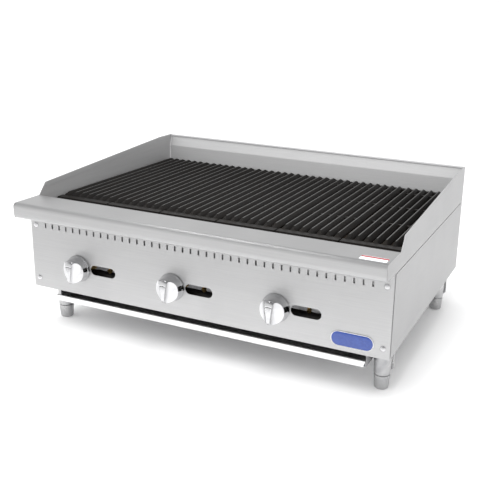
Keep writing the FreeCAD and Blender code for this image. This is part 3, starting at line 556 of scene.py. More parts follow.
ALONG_X, ALONG_Y = (8, 600, 600), (600, 8, 600)
steel_across = brushed_steel(
    "steel_brushed_across", ALONG_X, (0.425, 0.425, 0.43), (0.58, 0.58, 0.58), 0.44
)
# The side sheets: the same steel made darker, painted shade.
steel_lengthwise_painted_shade = brushed_steel(
    "steel_brushed_lengthwise_painted_shade", ALONG_Y, (0.36, 0.36, 0.365), (0.50, 0.50, 0.50), 0.52, metallic=0.5
)
# The back splash: the same steel made paler, painted light.
steel_back_painted_light = brushed_steel(
    "steel_splash_painted_light", ALONG_X, (0.50, 0.50, 0.505), (0.66, 0.66, 0.66), 0.55, metallic=0.5
)
bright_steel = brushed_steel(
    "bright_steel", (10, 900, 900), (0.80, 0.80, 0.80), (0.92, 0.92, 0.91), 0.20, 0.01
)

# %% [markdown]
# ## Firebox and tray sheet
# Inside, the sheet is aluminised steel: duller, with a faint spangle of crystals a few
# millimetres wide, and straw to blue-brown heat colours towards the burners. The spangle
# comes from Voronoi cells, each with its own slightly different gloss.

# %% Aluminised sheet finish
aluminised, tree, shader, place = new_finish("aluminised_sheet", 0.85)
spangle = node(tree, "TexVoronoi")
spangle.inputs["Scale"].default_value = 260.0
tree.links.new(place, spangle.inputs["Vector"])
crystal = node(tree, "SeparateColor")
tree.links.new(spangle.outputs["Color"], crystal.inputs[0])
heat = use_group(tree, height_fade, Low=0.13, High=0.30, Break_up=22.0)
tree.links.new(place, heat.inputs["Coordinates"])
sheet_colour = tint(tree, crystal.outputs[0], (0.40, 0.40, 0.41), (0.52, 0.52, 0.53))
heated = tint(tree, heat.outputs["Fade"], sheet_colour, (0.17, 0.12, 0.085))
tree.links.new(heated, shader.inputs["Base Color"])
sheet_rough = spread(tree, crystal.outputs[1], 0.38, 0.52)
heat_rough = spread(tree, heat.outputs["Fade"], 0.0, 0.18)
tree.links.new(combine(tree, "ADD", sheet_rough, heat_rough), shader.inputs["Roughness"])
raise_grain(tree, shader, crystal.outputs[2], 0.08, 0.02)
print("finish:", aluminised.name)

# %% [markdown]
# ## Iron
# The grates are cast iron under seasoning: nearly black, a little brown, with a soft gloss.
# Their crests carry a thin lighter line, a painted highlight, and the metal there is smoother.
# The radiants sit in the flames and are drier, browner and rougher.

# %% Cast iron finishes


def cast_iron(name, dark, brown, crest, low, high, rough):
    material, tree, shader, place = new_finish(name, 0.0)
    shader.inputs["Specular IOR Level"].default_value = 0.12
    skin = use_group(tree, cast_skin, Grain=850.0)
    # Between low and high the colour fades to the crest colour; on the grates this is a painted highlight.
    top_fade = use_group(tree, height_fade, Low=low, High=high, Break_up=70.0)
    for effect in (skin, top_fade):
        tree.links.new(place, effect.inputs["Coordinates"])
    seasoned = tint(tree, spread(tree, skin.outputs["Mottle"], -0.4, 1.4), dark, brown)
    crest_tinted = tint(tree, top_fade.outputs["Fade"], seasoned, crest)
    tree.links.new(crest_tinted, shader.inputs["Base Color"])
    skin_rough = spread(tree, skin.outputs["Mottle"], rough - 0.10, rough + 0.14)
    top_rough = combine(tree, "MULTIPLY", top_fade.outputs["Fade"], -0.14)
    tree.links.new(combine(tree, "ADD", skin_rough, top_rough), shader.inputs["Roughness"])
    raise_grain(tree, shader, skin.outputs["Height"], 0.35, 0.12)
    print("finish:", name)
    return material


crest_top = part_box("grate_1")[1].z
# The lighter crest colour of the grates is a painted highlight.
grate_iron = cast_iron(
    "grate_iron", (0.0055, 0.0053, 0.0052), (0.011, 0.0092, 0.0078), (0.055, 0.054, 0.053),
    crest_top - 1.0 * MM, crest_top - 0.05 * MM, 0.42,
)
radiant_iron = cast_iron(
    "radiant_iron", (0.045, 0.036, 0.030), (0.095, 0.062, 0.042), (0.13, 0.105, 0.085),
    0.20, 0.27, 0.74,
)

# %% [markdown]
# ## Burners, pipe and brass
# Burner tubes are steel that has gone brown and grey in the heat, the gas pipe is black
# mill-scaled iron, and the hoods, valves and pilot tubes are brass. All three are plain
# metals whose colour drifts, so one builder serves them.

# %% Drifting metal finishes


def drifting_metal(name, metallic, colour_a, colour_b, smooth, dull, size, grain, depth):
    material, tree, shader, place = new_finish(name, metallic)
    marks = use_group(tree, handling_marks, Size=size)
    skin = use_group(tree, cast_skin, Grain=grain)
    for effect in (marks, skin):
        tree.links.new(place, effect.inputs["Coordinates"])
    tree.links.new(tint(tree, marks.outputs["Marks"], colour_a, colour_b), shader.inputs["Base Color"])
    tree.links.new(spread(tree, marks.outputs["Marks"], smooth, dull), shader.inputs["Roughness"])
    raise_grain(tree, shader, skin.outputs["Height"], 0.2, depth)
    print("finish:", name)
    return material


burner_steel = drifting_metal(
    "burner_steel", 0.7, (0.20, 0.16, 0.13), (0.10, 0.06, 0.04),
    0.45, 0.7, 28.0, 900.0, 0.08,
)
black_pipe = drifting_metal(
    "black_pipe", 0.4, (0.022, 0.022, 0.023), (0.045, 0.040, 0.036),
    0.36, 0.55, 30.0, 700.0, 0.06,
)
brass = drifting_metal(
    "brass", 1.0, (0.78, 0.55, 0.24), (0.55, 0.38, 0.17),
    0.22, 0.40, 60.0, 1500.0, 0.01,
)
zinc_steel = drifting_metal(
    "zinc_steel", 1.0, (0.62, 0.64, 0.66), (0.50, 0.51, 0.50),
    0.28, 0.42, 90.0, 1500.0, 0.01,
)
leg_steel = drifting_metal(
    "leg_steel", 1.0, (0.50, 0.50, 0.50), (0.38, 0.38, 0.39),
    0.26, 0.36, 30.0, 1800.0, 0.01,
)
chrome = drifting_metal(
    "chrome", 1.0, (0.66, 0.66, 0.67), (0.58, 0.58, 0.59),
    0.07, 0.13, 45.0, 600.0, 0.004,
)

# %% [markdown]
# ## Badge and label
# The badge is glass enamel: a deep even blue under a clear gloss, with the faint ripple of
# fired glass. The label is white film with one red band across its back edge. Both stay
# blank, so the parts can stand for any maker.

# %% Enamel and film finishes
enamel, tree, shader, place = new_finish("badge_enamel", 0.0)
fired = use_group(tree, handling_marks, Size=220.0)
tree.links.new(place, fired.inputs["Coordinates"])
blue = tint(tree, fired.outputs["Marks"], (0.022, 0.055, 0.27), (0.032, 0.075, 0.33))
tree.links.new(blue, shader.inputs["Base Color"])
tree.links.new(spread(tree, fired.outputs["Marks"], 0.16, 0.24), shader.inputs["Roughness"])
raise_grain(tree, shader, fired.outputs["Marks"], 0.1, 0.03)
shader.inputs["Coat Weight"].default_value = 0.6
shader.inputs["Coat Roughness"].default_value = 0.05

label_low, label_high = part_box("rail_label")
film, tree, shader, place = new_finish("label_film", 0.0)
along_label = node(tree, "SeparateXYZ")
tree.links.new(place, along_label.inputs[0])
band_start = label_high.y - 9.0 * MM
in_band = combine(tree, "GREATER_THAN", along_label.outputs["Y"], band_start)
below_edge = combine(tree, "LESS_THAN", along_label.outputs["Y"], label_high.y - 1.2 * MM)
band = combine(tree, "MULTIPLY", in_band, below_edge)
paper = use_group(tree, handling_marks, Size=120.0)
tree.links.new(place, paper.inputs["Coordinates"])
white = tint(tree, paper.outputs["Marks"], (0.66, 0.67, 0.68), (0.72, 0.73, 0.74))
tree.links.new(tint(tree, band, white, (0.26, 0.006, 0.012)), shader.inputs["Base Color"])
tree.links.new(spread(tree, paper.outputs["Marks"], 0.28, 0.40), shader.inputs["Roughness"])
print("finishes:", enamel.name, film.name)

# %% [markdown]
# ## Finish for every part of the frame
# Each node of the frame gets the material of its slot. The lengthwise grain, darkened as
# painted shade, goes to the sheets that run from front to back.

# %% Give the frame its finishes
slot_finish = {
    "brushed_stainless": steel_across,
    "bright_stainless": bright_steel,
    "aluminised_sheet": aluminised,
    "cast_iron": grate_iron,
    "burner_steel": burner_steel,
    "chrome": chrome,
    "badge_enamel": enamel,
    "label_film": film,
    "brass": brass,
    "black_pipe": black_pipe,
    "leg_steel": leg_steel,
    "zinc_steel": zinc_steel,
}
lengthwise = ("side_panel_left", "side_panel_right", "side_splash_left", "side_splash_right")
unknown = []
for name, part in nodes.items():
    slot = part.data.materials[0].name.split(".")[0]
    finish = slot_finish.get(slot, steel_across)
    if slot not in slot_finish:
        unknown.append((name, slot))
    if name in lengthwise:
        finish = steel_lengthwise_painted_shade
    if name.startswith("radiant"):
        finish = radiant_iron
    part.data.materials.clear()
    part.data.materials.append(finish)
print("finished nodes:", len(nodes), "without a known slot:", unknown)

# %% [markdown]
# ## Floor and light
# The floor is one wide pale sheet that begins a couple of metres in front of the machine
# and runs far back, so no edge of it shows behind the machine. It glows a little, which
# keeps the shadows soft.

# %% Floor
bpy.ops.object.select_all(action="DESELECT")
bpy.ops.mesh.primitive_plane_add(size=1.0)
floor = bpy.context.object
floor.name = "studio_floor"
floor.scale = (160.0, 160.0, 1.0)
floor.location = (0.0, 78.0, 0.0)
settle(floor)
floor_paint, tree, shader, place = new_finish("studio_floor_paint", 0.0)
floor_marks = use_group(tree, handling_marks, Size=2.0)
tree.links.new(place, floor_marks.inputs["Coordinates"])
floor_colour = tint(tree, floor_marks.outputs["Marks"], (0.90, 0.90, 0.90), (0.915, 0.915, 0.915))
tree.links.new(floor_colour, shader.inputs["Base Color"])
shader.inputs["Roughness"].default_value = 0.9
shader.inputs["Emission Color"].default_value = (1.0, 1.0, 1.0, 1.0)
shader.inputs["Emission Strength"].default_value = 0.07
floor.data.materials.append(floor_paint)
print("floor front edge at Y", -2.0)

# %% [markdown]
# ## Dark flag
# Polished metal in a pale room has nothing to reflect and looks like plaster. A strip of
# dark cloth on the floor in front, seen only in reflections, draws the knobs' facets.

# %% Dark flag in front
bpy.ops.mesh.primitive_plane_add(size=1.0)
flag = bpy.context.object
flag.name = "dark_flag"
flag.scale = (1.4, 0.15, 1.0)
flag.location = (-0.35, -0.81, 0.004)
settle(flag)
flag_cloth, tree, shader, place = new_finish("dark_flag_cloth", 0.0)
shader.inputs["Base Color"].default_value = (0.01, 0.01, 0.01, 1.0)
shader.inputs["Roughness"].default_value = 0.9
flag.data.materials.append(flag_cloth)
flag.visible_camera = False
flag.visible_diffuse = False
flag.visible_shadow = False
print("flag", [round(v, 2) for v in flag.dimensions])

# %% [markdown]
# ## Sky and lamps
# The horizon is pale and the ceiling dim. Metal only shows its shape by what it reflects,
# so the dim ceiling draws the rounded edge of the rail and the tops of the knobs. A wide
# soft sun, which the metal doesn't reflect, lights the floor and the dull surfaces. One
# narrow lamp gives the glints, and one hangs over the grates for the walls round them.

# %% Sky and lamps
bpy.context.scene.view_settings.view_transform = "Standard"
world = bpy.data.worlds.new("studio")
bpy.context.scene.world = world
world.use_nodes = True
sky = world.node_tree
background = sky.nodes["Background"]
look = node(sky, "SeparateXYZ")
sky.links.new(node(sky, "TexCoord").outputs["Generated"], look.inputs[0])
overhead = node(sky, "MapRange", interpolation_type="SMOOTHSTEP")
sky.links.new(look.outputs["Z"], overhead.inputs["Value"])
overhead.inputs["From Min"].default_value = 0.40
overhead.inputs["From Max"].default_value = 0.88
sky_colour = tint(sky, overhead.outputs[0], (1.0, 1.0, 1.0), (0.30, 0.30, 0.305))
sky.links.new(sky_colour, background.inputs["Color"])
background.inputs["Strength"].default_value = 1.01

sun_data = bpy.data.lights.new("soft_sun", "SUN")
sun_data.energy = 2.6
sun_data.angle = math.radians(80.0)
sun = bpy.data.objects.new("soft_sun", sun_data)
bpy.context.scene.collection.objects.link(sun)
sun.rotation_euler = (math.radians(14.0), math.radians(-12.0), 0.0)
sun.visible_glossy = False


def lamp(name, place, target, size, power):
    data = bpy.data.lights.new(name, "AREA")
    data.shape = "RECTANGLE"
    data.size, data.size_y = size
    data.energy = power
    made = bpy.data.objects.new(name, data)
    bpy.context.scene.collection.objects.link(made)
    made.location = place
    aim = Vector(target) - Vector(place)
    made.rotation_euler = aim.to_track_quat("-Z", "Y").to_euler()
    print("lamp", name, power, "W")
    return made


lamp("glint_strip", (-0.9, -0.2, 2.4), (0, 0, 0.3), (1.8, 0.25), 9.0)
inside_lamp = lamp("inside_lamp", (0.36, -0.45, 1.0), (-0.4, 0.25, 0.36), (0.4, 0.4), 7.0)
inside_lamp.visible_camera = False
inside_lamp.visible_glossy = False


# %% [markdown]
# ## Handing a piece over
# A finished piece has its place in its mesh, smooth shading across its small bevels but
# not across real corners, and face weighted normals so that flat sheet stays flat. Then
# it rides on its body and stands in for the plain nodes it replaces.

# %% Handing over


def hand_over(piece, body, finish, replaced, angle=32.0):
    settle(piece)
    bpy.ops.object.shade_smooth_by_angle(angle=math.radians(angle))
    run_modifier(piece, "WEIGHTED_NORMAL", mode="FACE_AREA", weight=60, keep_sharp=True)
    piece.data.materials.clear()
    piece.data.materials.append(finish)
    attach(piece, body)
    for name in replaced:
        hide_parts(name)
    size = [round(value / MM, 1) for value in piece.dimensions]
    print(piece.name, "faces", len(piece.data.polygons), "size", size)
    return piece


def middle(name):
    """The middle of a node's box, in millimetres."""
    low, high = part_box(name)
    return (low + high) / 2.0 / MM


def corners(name):
    low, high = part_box(name)
    return low / MM, high / MM


# %% [markdown]
# ## Grates
# Each grate is one casting: seven bars with a narrow crest and sloping sides, so that fat
# runs off, a stepped rim in front and cross ribs that keep the bars apart. One bar is a
# block narrowed at its crest and foot, with its ends cut at a slant. It is arrayed, the
# rims and ribs are joined on, and the finished grate is copied to its six places.

# %% One bar
grate_low, grate_high = corners("grate_1")
GRATE_TOP, GRATE_SEAT = grate_high.z, grate_low.z
BAR_EDGE, BAR_COUNT = 12.1, 7
BAR_PITCH = (grate_high.x - grate_low.x - 2.0 * BAR_EDGE) / (BAR_COUNT - 1)
bar_x = grate_low.x + BAR_EDGE
bar_front, bar_back = grate_low.y + 25.0, grate_high.y - 3.0
bar = block("grate_bar", (bar_x - 7.6, bar_front, GRATE_SEAT + 0.5), (bar_x + 7.6, bar_back, GRATE_TOP))
edit(bar)
for height in (GRATE_TOP - 11.5, GRATE_TOP - 14.0):
    bpy.ops.mesh.select_all(action="SELECT")
    bpy.ops.mesh.bisect(plane_co=mm(0, 0, height), plane_no=(0, 0, 1))
pick(bar, "VERT", lambda co: near(co.z, GRATE_TOP * MM))
scale_about(mm(bar_x, 0, GRATE_TOP), x=1.25 / 7.6)
pick(bar, "VERT", lambda co: near(co.z, (GRATE_SEAT + 0.5) * MM))
scale_about(mm(bar_x, 0, GRATE_SEAT), x=3.2 / 7.6)
for end, run, drop, way in ((bar_front, 17.0, 8.5, -1.0), (bar_back, 10.0, 5.0, 1.0)):
    bpy.ops.mesh.select_all(action="SELECT")
    bpy.ops.mesh.bisect(
        plane_co=mm(0, end - way * run, GRATE_TOP), plane_no=Vector((0, way * drop, run)).normalized(),
        use_fill=True, clear_outer=True,
    )
leave()
round_edges(bar, 0.75, segments=3, angle=15.0)
print("bar faces", len(bar.data.polygons), "pitch", round(BAR_PITCH, 2))

# %% [markdown]
# The bar is repeated across the grate. The rim has a low step in front and a higher one
# behind it, and the ribs stop below the crests, so the meat only touches the bars. Each
# grate has its own mesh, because each one lifts out by itself.

# %% Grate rim, ribs and the six copies
run_modifier(
    bar, "ARRAY", count=BAR_COUNT, use_relative_offset=False, use_constant_offset=True,
    constant_offset_displace=mm(BAR_PITCH, 0, 0),
)
rim = block(
    "grate_rim", (grate_low.x + 1.0, grate_low.y, GRATE_SEAT),
    (grate_high.x - 1.0, grate_low.y + 29.0, GRATE_TOP - 10.5),
)
edit(rim)
bpy.ops.mesh.select_all(action="SELECT")
bpy.ops.mesh.bisect(plane_co=mm(0, grate_low.y + 8.0, 0), plane_no=(0, 1, 0))
pick(rim, "FACE", lambda co: co.y > (grate_low.y + 7.9) * MM and near(co.z, (GRATE_TOP - 10.5) * MM))
pull(0, 0, 3.0)
leave()
round_edges(rim, 1.1, segments=3)
castings = [bar, rim]
back_rim = block(
    "grate_back", (grate_low.x, grate_high.y - 12.0, GRATE_SEAT),
    (grate_high.x, grate_high.y, GRATE_TOP - 7.0),
)
round_edges(back_rim, 1.1, segments=3)
castings.append(back_rim)
RIB_PITCH = (grate_high.y - grate_low.y - 90.0) / 3.0
for row in range(3):
    rib_y = grate_low.y + 40.0 + RIB_PITCH * (row + 1)
    rib = block(
        "grate_rib", (grate_low.x + BAR_EDGE, rib_y - 4.0, GRATE_SEAT + 1.0),
        (grate_high.x - BAR_EDGE, rib_y + 4.0, GRATE_TOP - 7.0),
    )
    round_edges(rib, 1.4, segments=3)
    castings.append(rib)
first_grate = join("grate_casting_1", castings)
for number in range(1, 7):
    name = f"grate_{number}"
    step = middle(name) - middle("grate_1")
    grate = first_grate if number == 1 else copy_piece(first_grate, f"grate_casting_{number}", step)
    hand_over(grate, name, grate_iron, [name], angle=40.0)

# %% [markdown]
# ## Control knobs
# A knob is a die casting: a skirt, a tapering body and a grip left standing between two
# finger scoops. It is turned ring by ring, two cylinders scoop out its sides, and a fine
# bevel rounds the edges that the scoops leave, as the mould would.

# %% One knob
knob_low, knob_high = corners("knob_1")
KNOB = Vector(((knob_low.x + knob_high.x) / 2.0, knob_high.y, (knob_low.z + knob_high.z) / 2.0))
knob = turned(
    "knob", KNOB, "Y",
    [(0, 32.4), (-0.8, 33.0), (-2.3, 33.0), (-6.2, 31.4), (-7.6, 30.6), (-14.0, 29.7), (-22.0, 28.8),
     (-29.0, 28.1), (-31.6, 27.4), (-34.4, 25.0), (-37.0, 21.6), (-38.1, 18.5), (-38.5, 14.0), (-38.5, 4.0)],
    sides=96,
)
for side in (-1, 1):
    bpy.ops.object.select_all(action="DESELECT")
    bpy.ops.mesh.primitive_cylinder_add(
        vertices=160, radius=26.0 * MM, depth=140.0 * MM,
        location=KNOB * MM + mm(side * 31.0, -45.5, 0), rotation=(0, 0, 0),
    )
    scoop = bpy.context.object
    settle(scoop)
    scoop_turn = Matrix.Rotation(math.radians(side * 7.0), 4, "Y")
    about_knob = Matrix.Translation(KNOB * MM) @ scoop_turn @ Matrix.Translation(-KNOB * MM)
    scoop.data.transform(about_knob)
    edit(scoop)
    bpy.ops.mesh.select_all(action="SELECT")
    bpy.ops.mesh.bisect(
        plane_co=KNOB * MM + mm(0, -10.0, 0), plane_no=(0, 1, 0), use_fill=True, clear_outer=True
    )
    leave()
    run_modifier(knob, "BOOLEAN", operation="DIFFERENCE", object=scoop, solver="EXACT")
    bpy.data.objects.remove(scoop)
outward(knob)
edit(knob)
bpy.ops.mesh.select_all(action="SELECT")
bpy.ops.mesh.dissolve_limited(angle_limit=math.radians(0.5))
leave()
round_edges(knob, 0.7, segments=3, angle=26.0)
print("knob faces", len(knob.data.polygons))

# %% [markdown]
# The finished knob is copied to the other two stems, and each copy turns by itself.

# %% Three knobs
for number in range(1, 4):
    name = f"knob_{number}"
    step = middle(name) - middle("knob_1")
    control = knob if number == 1 else copy_piece(knob, "knob_cap", step)
    control.name = f"control_knob_{number}"
    hand_over(control, name, chrome, [name], angle=30.0)

# %% [markdown]
# ## Front rail
# The rail is one folded sheet: from under the panel's top edge, round the nose, back over
# the top and down into the grate opening. Its soft folds are the most visible curves on
# the machine, so it is folded here rather than cut from a block.

# %% Front rail
rail_low, rail_high = corners("front_rail")
RAIL_FRONT, RAIL_TOP, RAIL_FOOT = rail_low.y, rail_high.z, rail_low.z
rail_line = [
    (RAIL_FRONT + 69.0, RAIL_FOOT), (RAIL_FRONT + 2.5, RAIL_FOOT), (RAIL_FRONT, RAIL_FOOT + 12.0),
    (RAIL_FRONT, RAIL_TOP), (RAIL_FRONT + 89.0, RAIL_TOP), (RAIL_FRONT + 89.0, RAIL_TOP - 20.0),
]
rail = folded("rail_sheet", rail_low.x, rail_high.x, rail_line, [0, 7.0, 5.5, 12.0, 3.0, 0], (0, 0, 1))
run_modifier(rail, "SOLIDIFY", thickness=1.5 * MM, offset=-1.0, use_even_offset=True)
round_edges(rail, 0.3, segments=2, angle=40.0)
hand_over(rail, "chassis", steel_across, ["front_rail"])

# %% [markdown]
# ## Side splash walls
# Each side wall and its rail end cap are one flat sheet cut to shape, with a strip folded
# over inside along the top to stiffen it. The outline is a ring of corners moved to their
# places, and each corner is then rounded to its own radius.

# %% Side splash walls
wall_high = corners("side_splash_right")[1]
WALL_TOP, BODY_BACK = wall_high.z, wall_high.y
RAIL_BACK = RAIL_FRONT + 89.0
wall_line = [
    (-301.5, RAIL_FOOT), (RAIL_FRONT + 2.5, RAIL_FOOT), (RAIL_FRONT, RAIL_FOOT + 12.0),
    (RAIL_FRONT, RAIL_TOP),
    (RAIL_BACK, RAIL_TOP), (RAIL_BACK + 24.0, RAIL_TOP + 28.0), (BODY_BACK - 70.0, WALL_TOP),
    (BODY_BACK, WALL_TOP), (BODY_BACK, RAIL_FOOT),
]
wall = plate("wall_sheet", wall_high.x, wall_line, [0, 7.0, 8.0, 12.0, 2.0, 8.0, 60.0, 3.0, 0], 1.5)
round_edges(wall, 0.45, segments=2, angle=40.0)
hem_line = [
    (RAIL_BACK + 24.0, RAIL_TOP + 16.0), (RAIL_BACK + 24.0, RAIL_TOP + 28.0), (BODY_BACK - 70.0, WALL_TOP),
    (BODY_BACK - 6.0, WALL_TOP), (BODY_BACK - 6.0, WALL_TOP - 12.0), (BODY_BACK - 70.0, WALL_TOP - 12.0),
]
hem = plate("wall_hem", wall_high.x - 1.4, hem_line, [3.0, 8.0, 60.0, 0, 0, 48.0], 1.4)
round_edges(hem, 0.5, segments=3, angle=40.0)
wall_foot = block(
    "wall_foot", (wall_high.x - 16.5, -194.0, RAIL_FOOT), (wall_high.x - 1.4, 322.0, RAIL_FOOT + 1.5)
)
round_edges(wall_foot, 0.3)
right_wall = join("splash_wall_right", [wall, hem, wall_foot])
left_wall = copy_piece(right_wall, "splash_wall_left", Vector((0, 0, 0)))
left_wall.data.transform(Matrix.Scale(-1.0, 4, AXES["X"]))
left_wall.data.flip_normals()
for side, piece in (("right", right_wall), ("left", left_wall)):
    hand_over(piece, "chassis", steel_lengthwise_painted_shade, [f"side_splash_{side}"])

# %% [markdown]
# ## Back splash
# The back wall stands up behind the grates, leans back over its top third and ends in a
# closed fold, so that there is no raw edge to cut a hand. It is folded like the rail.

# %% Back splash
splash_low, splash_high = corners("back_splash")
splash_line = [
    (splash_high.y, RAIL_FOOT), (splash_high.y - 9.0, RAIL_FOOT), (splash_high.y - 9.0, WALL_TOP - 34.0),
    (splash_high.y, splash_high.z), (splash_high.y - 5.6, splash_high.z),
    (splash_high.y - 6.3, splash_high.z - 4.0),
]
splash = folded(
    "splash_sheet", splash_low.x, splash_high.x, splash_line, [0, 1.6, 12.0, 1.6, 1.6, 0], (0, 1, 0)
)
run_modifier(splash, "SOLIDIFY", thickness=1.5 * MM, offset=-1.0, use_even_offset=True)
round_edges(splash, 0.3, segments=2, angle=40.0)
hand_over(splash, "chassis", steel_back_painted_light, ["back_splash"])

# %% [markdown]
# ## Control panel
# The panel is a flat sheet with short returns, punched with a row of cooling slots, three
# oblong sight holes for lighting the burners, and holes for the stems. Punches are
# shaped once, copied along the sheet and taken away with one Boolean, and the bevel left
# on each hole is the soft edge that a punch draws down.

# %% Control panel sheet
panel_low, panel_high = corners("control_panel")
face_back = panel_low.y + 1.5
panel = block("panel_sheet", panel_low, (panel_high.x, face_back, panel_high.z))
edit(panel)
for side_x in (panel_low.x + 3.7, panel_low.x + 2.2, panel_high.x - 3.7, panel_high.x - 2.2):
    bpy.ops.mesh.select_all(action="SELECT")
    bpy.ops.mesh.bisect(plane_co=mm(side_x, 0, 0), plane_no=(1, 0, 0))
bpy.ops.mesh.select_all(action="SELECT")
bpy.ops.mesh.bisect(plane_co=mm(0, 0, panel_low.z + 1.5), plane_no=(0, 0, 1))
return_out, return_in = (panel_high.x - 2.1) * MM, (panel_high.x - 3.8) * MM
pick(panel, "FACE", lambda co: near(co.y, face_back * MM) and return_in < abs(co.x) < return_out)
pull(0, 5.0, 0)
low_z = (panel_low.z + 1.6) * MM
in_middle = (panel_high.x - 3.6) * MM
pick(panel, "FACE", lambda co: near(co.y, face_back * MM) and co.z < low_z and abs(co.x) < in_middle)
pull(0, 14.5, 0)
leave()
print("panel sheet", [round(v / MM, 1) for v in panel.dimensions])

# %% [markdown]
# The slots sit just under the rail. A narrow strip stands a few millimetres behind them,
# so that they let air through but show sheet metal and not the dark inside.

# %% Punch the panel
punches = []
slot_x = panel_low.x + 44.0
slot_pitch = (panel_high.x - panel_low.x - 88.0) / 41.0
slot_z = RAIL_FOOT - 27.0
vent = block(
    "vent_punch", (slot_x - 2.0, panel_low.y - 4.0, slot_z - 6.0),
    (slot_x + 2.0, panel_low.y + 5.0, slot_z + 6.0),
)
edit(vent)
pick(vent, "EDGE", lambda co: True)
mesh = bmesh.from_edit_mesh(vent.data)
for edge in mesh.edges:
    edge.select_set(abs(edge.verts[0].co.y - edge.verts[1].co.y) > 5.0 * MM)
bmesh.update_edit_mesh(vent.data)
bpy.ops.mesh.bevel(offset=1.2 * MM, segments=2, affect="EDGES")
leave()
run_modifier(
    vent, "ARRAY", count=42, use_relative_offset=False, use_constant_offset=True,
    constant_offset_displace=mm(slot_pitch, 0, 0),
)
punches.append(vent)
for number in range(1, 4):
    spot = middle(f"knob_{number}")
    stem_hole = turned("stem_punch", (spot.x, panel_low.y, spot.z), "Y", [(-4, 6.0), (5, 6.0)], sides=32)
    sight_place = (spot.x + 70.0, panel_low.y, spot.z + 2.5)
    sight = turned("sight_punch", sight_place, "Y", [(-4, 12.0), (5, 12.0)], sides=48)
    edit(sight)
    for way in (-1, 1):
        pick(sight, "VERT", lambda co: (co.x - (spot.x + 70.0) * MM) * way > 0.05 * MM)
        shift(x=way * 23.0)
    leave()
    punches += [stem_hole, sight]
punch = join("panel_punch", punches)
outward(punch)
run_modifier(panel, "BOOLEAN", operation="DIFFERENCE", object=punch, solver="EXACT")
bpy.data.objects.remove(punch)
round_edges(panel, 0.35, segments=2, angle=40.0)
backing = block(
    "vent_backing", (panel_low.x + 30.0, panel_low.y + 4.6, slot_z - 11.0),
    (panel_high.x - 30.0, panel_low.y + 5.8, slot_z + 11.0),
)
round_edges(backing, 0.3)
panel = join("panel_sheet", [panel, backing])
hand_over(panel, "chassis", steel_across, ["control_panel"])

# %% [markdown]
# ## Tray lip
# The tray's front is a polished nose that is bent over at the top, leans back a little
# and is trimmed at a slant at both ends. The slant is two straight cuts through the
# folded strip, made before it gets its thickness, and a plain fixing strip sits behind.

# %% Tray lip
lip_low, lip_high = corners("tray_front")
lip_line = [
    (lip_low.y + 2.5, lip_low.z), (lip_low.y, lip_high.z), (lip_high.y, lip_high.z),
    (lip_high.y, lip_high.z - 3.2),
]
lip = folded("tray_lip", lip_low.x, lip_high.x, lip_line, [0, 2.2, 1.6, 0], (0, -1, 0))
edit(lip)
for way in (-1, 1):
    bpy.ops.mesh.select_all(action="SELECT")
    bpy.ops.mesh.bisect(
        plane_co=mm(way * lip_high.x, 0, lip_high.z), plane_no=Vector((way * 15.0, 0, -5.0)).normalized(),
        clear_outer=True,
    )
leave()
run_modifier(lip, "SOLIDIFY", thickness=1.3 * MM, offset=-1.0, use_even_offset=True)
round_edges(lip, 0.35, segments=2, angle=40.0)
strip = block(
    "lip_strip", (lip_low.x + 14.0, lip_low.y + 2.6, lip_low.z + 1.0),
    (lip_high.x - 14.0, lip_high.y, lip_low.z + 2.5),
)
round_edges(strip, 0.3)
hand_over(join("tray_lip", [lip, strip]), "tray", bright_steel, ["tray_front"])

# %% [markdown]
# ## Badge, label and screws
# The badge is a round-ended plate with a bright raised rim round a field of enamel. Both
# start as a disc whose two halves are moved apart. The field is pulled out in three small
# steps that shrink towards the top, which gives the pillow shape of fired enamel.

# %% Badge
badge_low, badge_high = corners("badge_plate")
BADGE = (badge_low + badge_high) / 2.0
BADGE_HALF = (badge_high.x - badge_low.x) / 2.0 - (badge_high.z - badge_low.z) / 2.0


def stretched(name, rings):
    """A disc in front of the panel, pulled out ring by ring and then drawn apart."""
    piece = turned(name, (BADGE.x, badge_high.y, BADGE.z), "Y", rings, sides=64)
    edit(piece)
    for way in (-1, 1):
        pick(piece, "VERT", lambda co: (co.x - BADGE.x * MM) * way > 0.02 * MM)
        shift(x=way * BADGE_HALF)
    leave()
    return piece


badge_rim = stretched(
    "badge_rim", [(0, 17.9), (-0.7, 18.0), (-1.3, 17.6), (-1.5, 16.9), (-1.3, 16.0), (-0.8, 15.6)]
)
badge_field = stretched(
    "badge_field", [(-0.2, 15.7), (-0.9, 15.6), (-1.2, 14.2), (-1.45, 10.0), (-1.58, 4.0)]
)
hand_over(badge_rim, "chassis", chrome, ["badge_plate"], angle=60.0)
hand_over(badge_field, "chassis", enamel, ["badge_plate"], angle=60.0)

# %% [markdown]
# The label is a thin film with rounded corners, stuck on top of the rail.

# %% Label
film_piece = block("rail_film", label_low / MM, label_high / MM)
edit(film_piece)
mesh = bmesh.from_edit_mesh(film_piece.data)
bpy.ops.mesh.select_mode(type="EDGE")
for edge in mesh.edges:
    edge.select_set(abs(edge.verts[0].co.z - edge.verts[1].co.z) > 0.2 * MM)
bmesh.update_edit_mesh(film_piece.data)
bpy.ops.mesh.bevel(offset=1.5 * MM, segments=4, affect="EDGES")
leave()
round_edges(film_piece, 0.1, segments=2)
hand_over(film_piece, "chassis", film, ["rail_label"])

# %% [markdown]
# A dome head is part of a ball. Its rings follow the ball's curve from the rim up to the
# middle, and a plain shank goes back through the sheet.

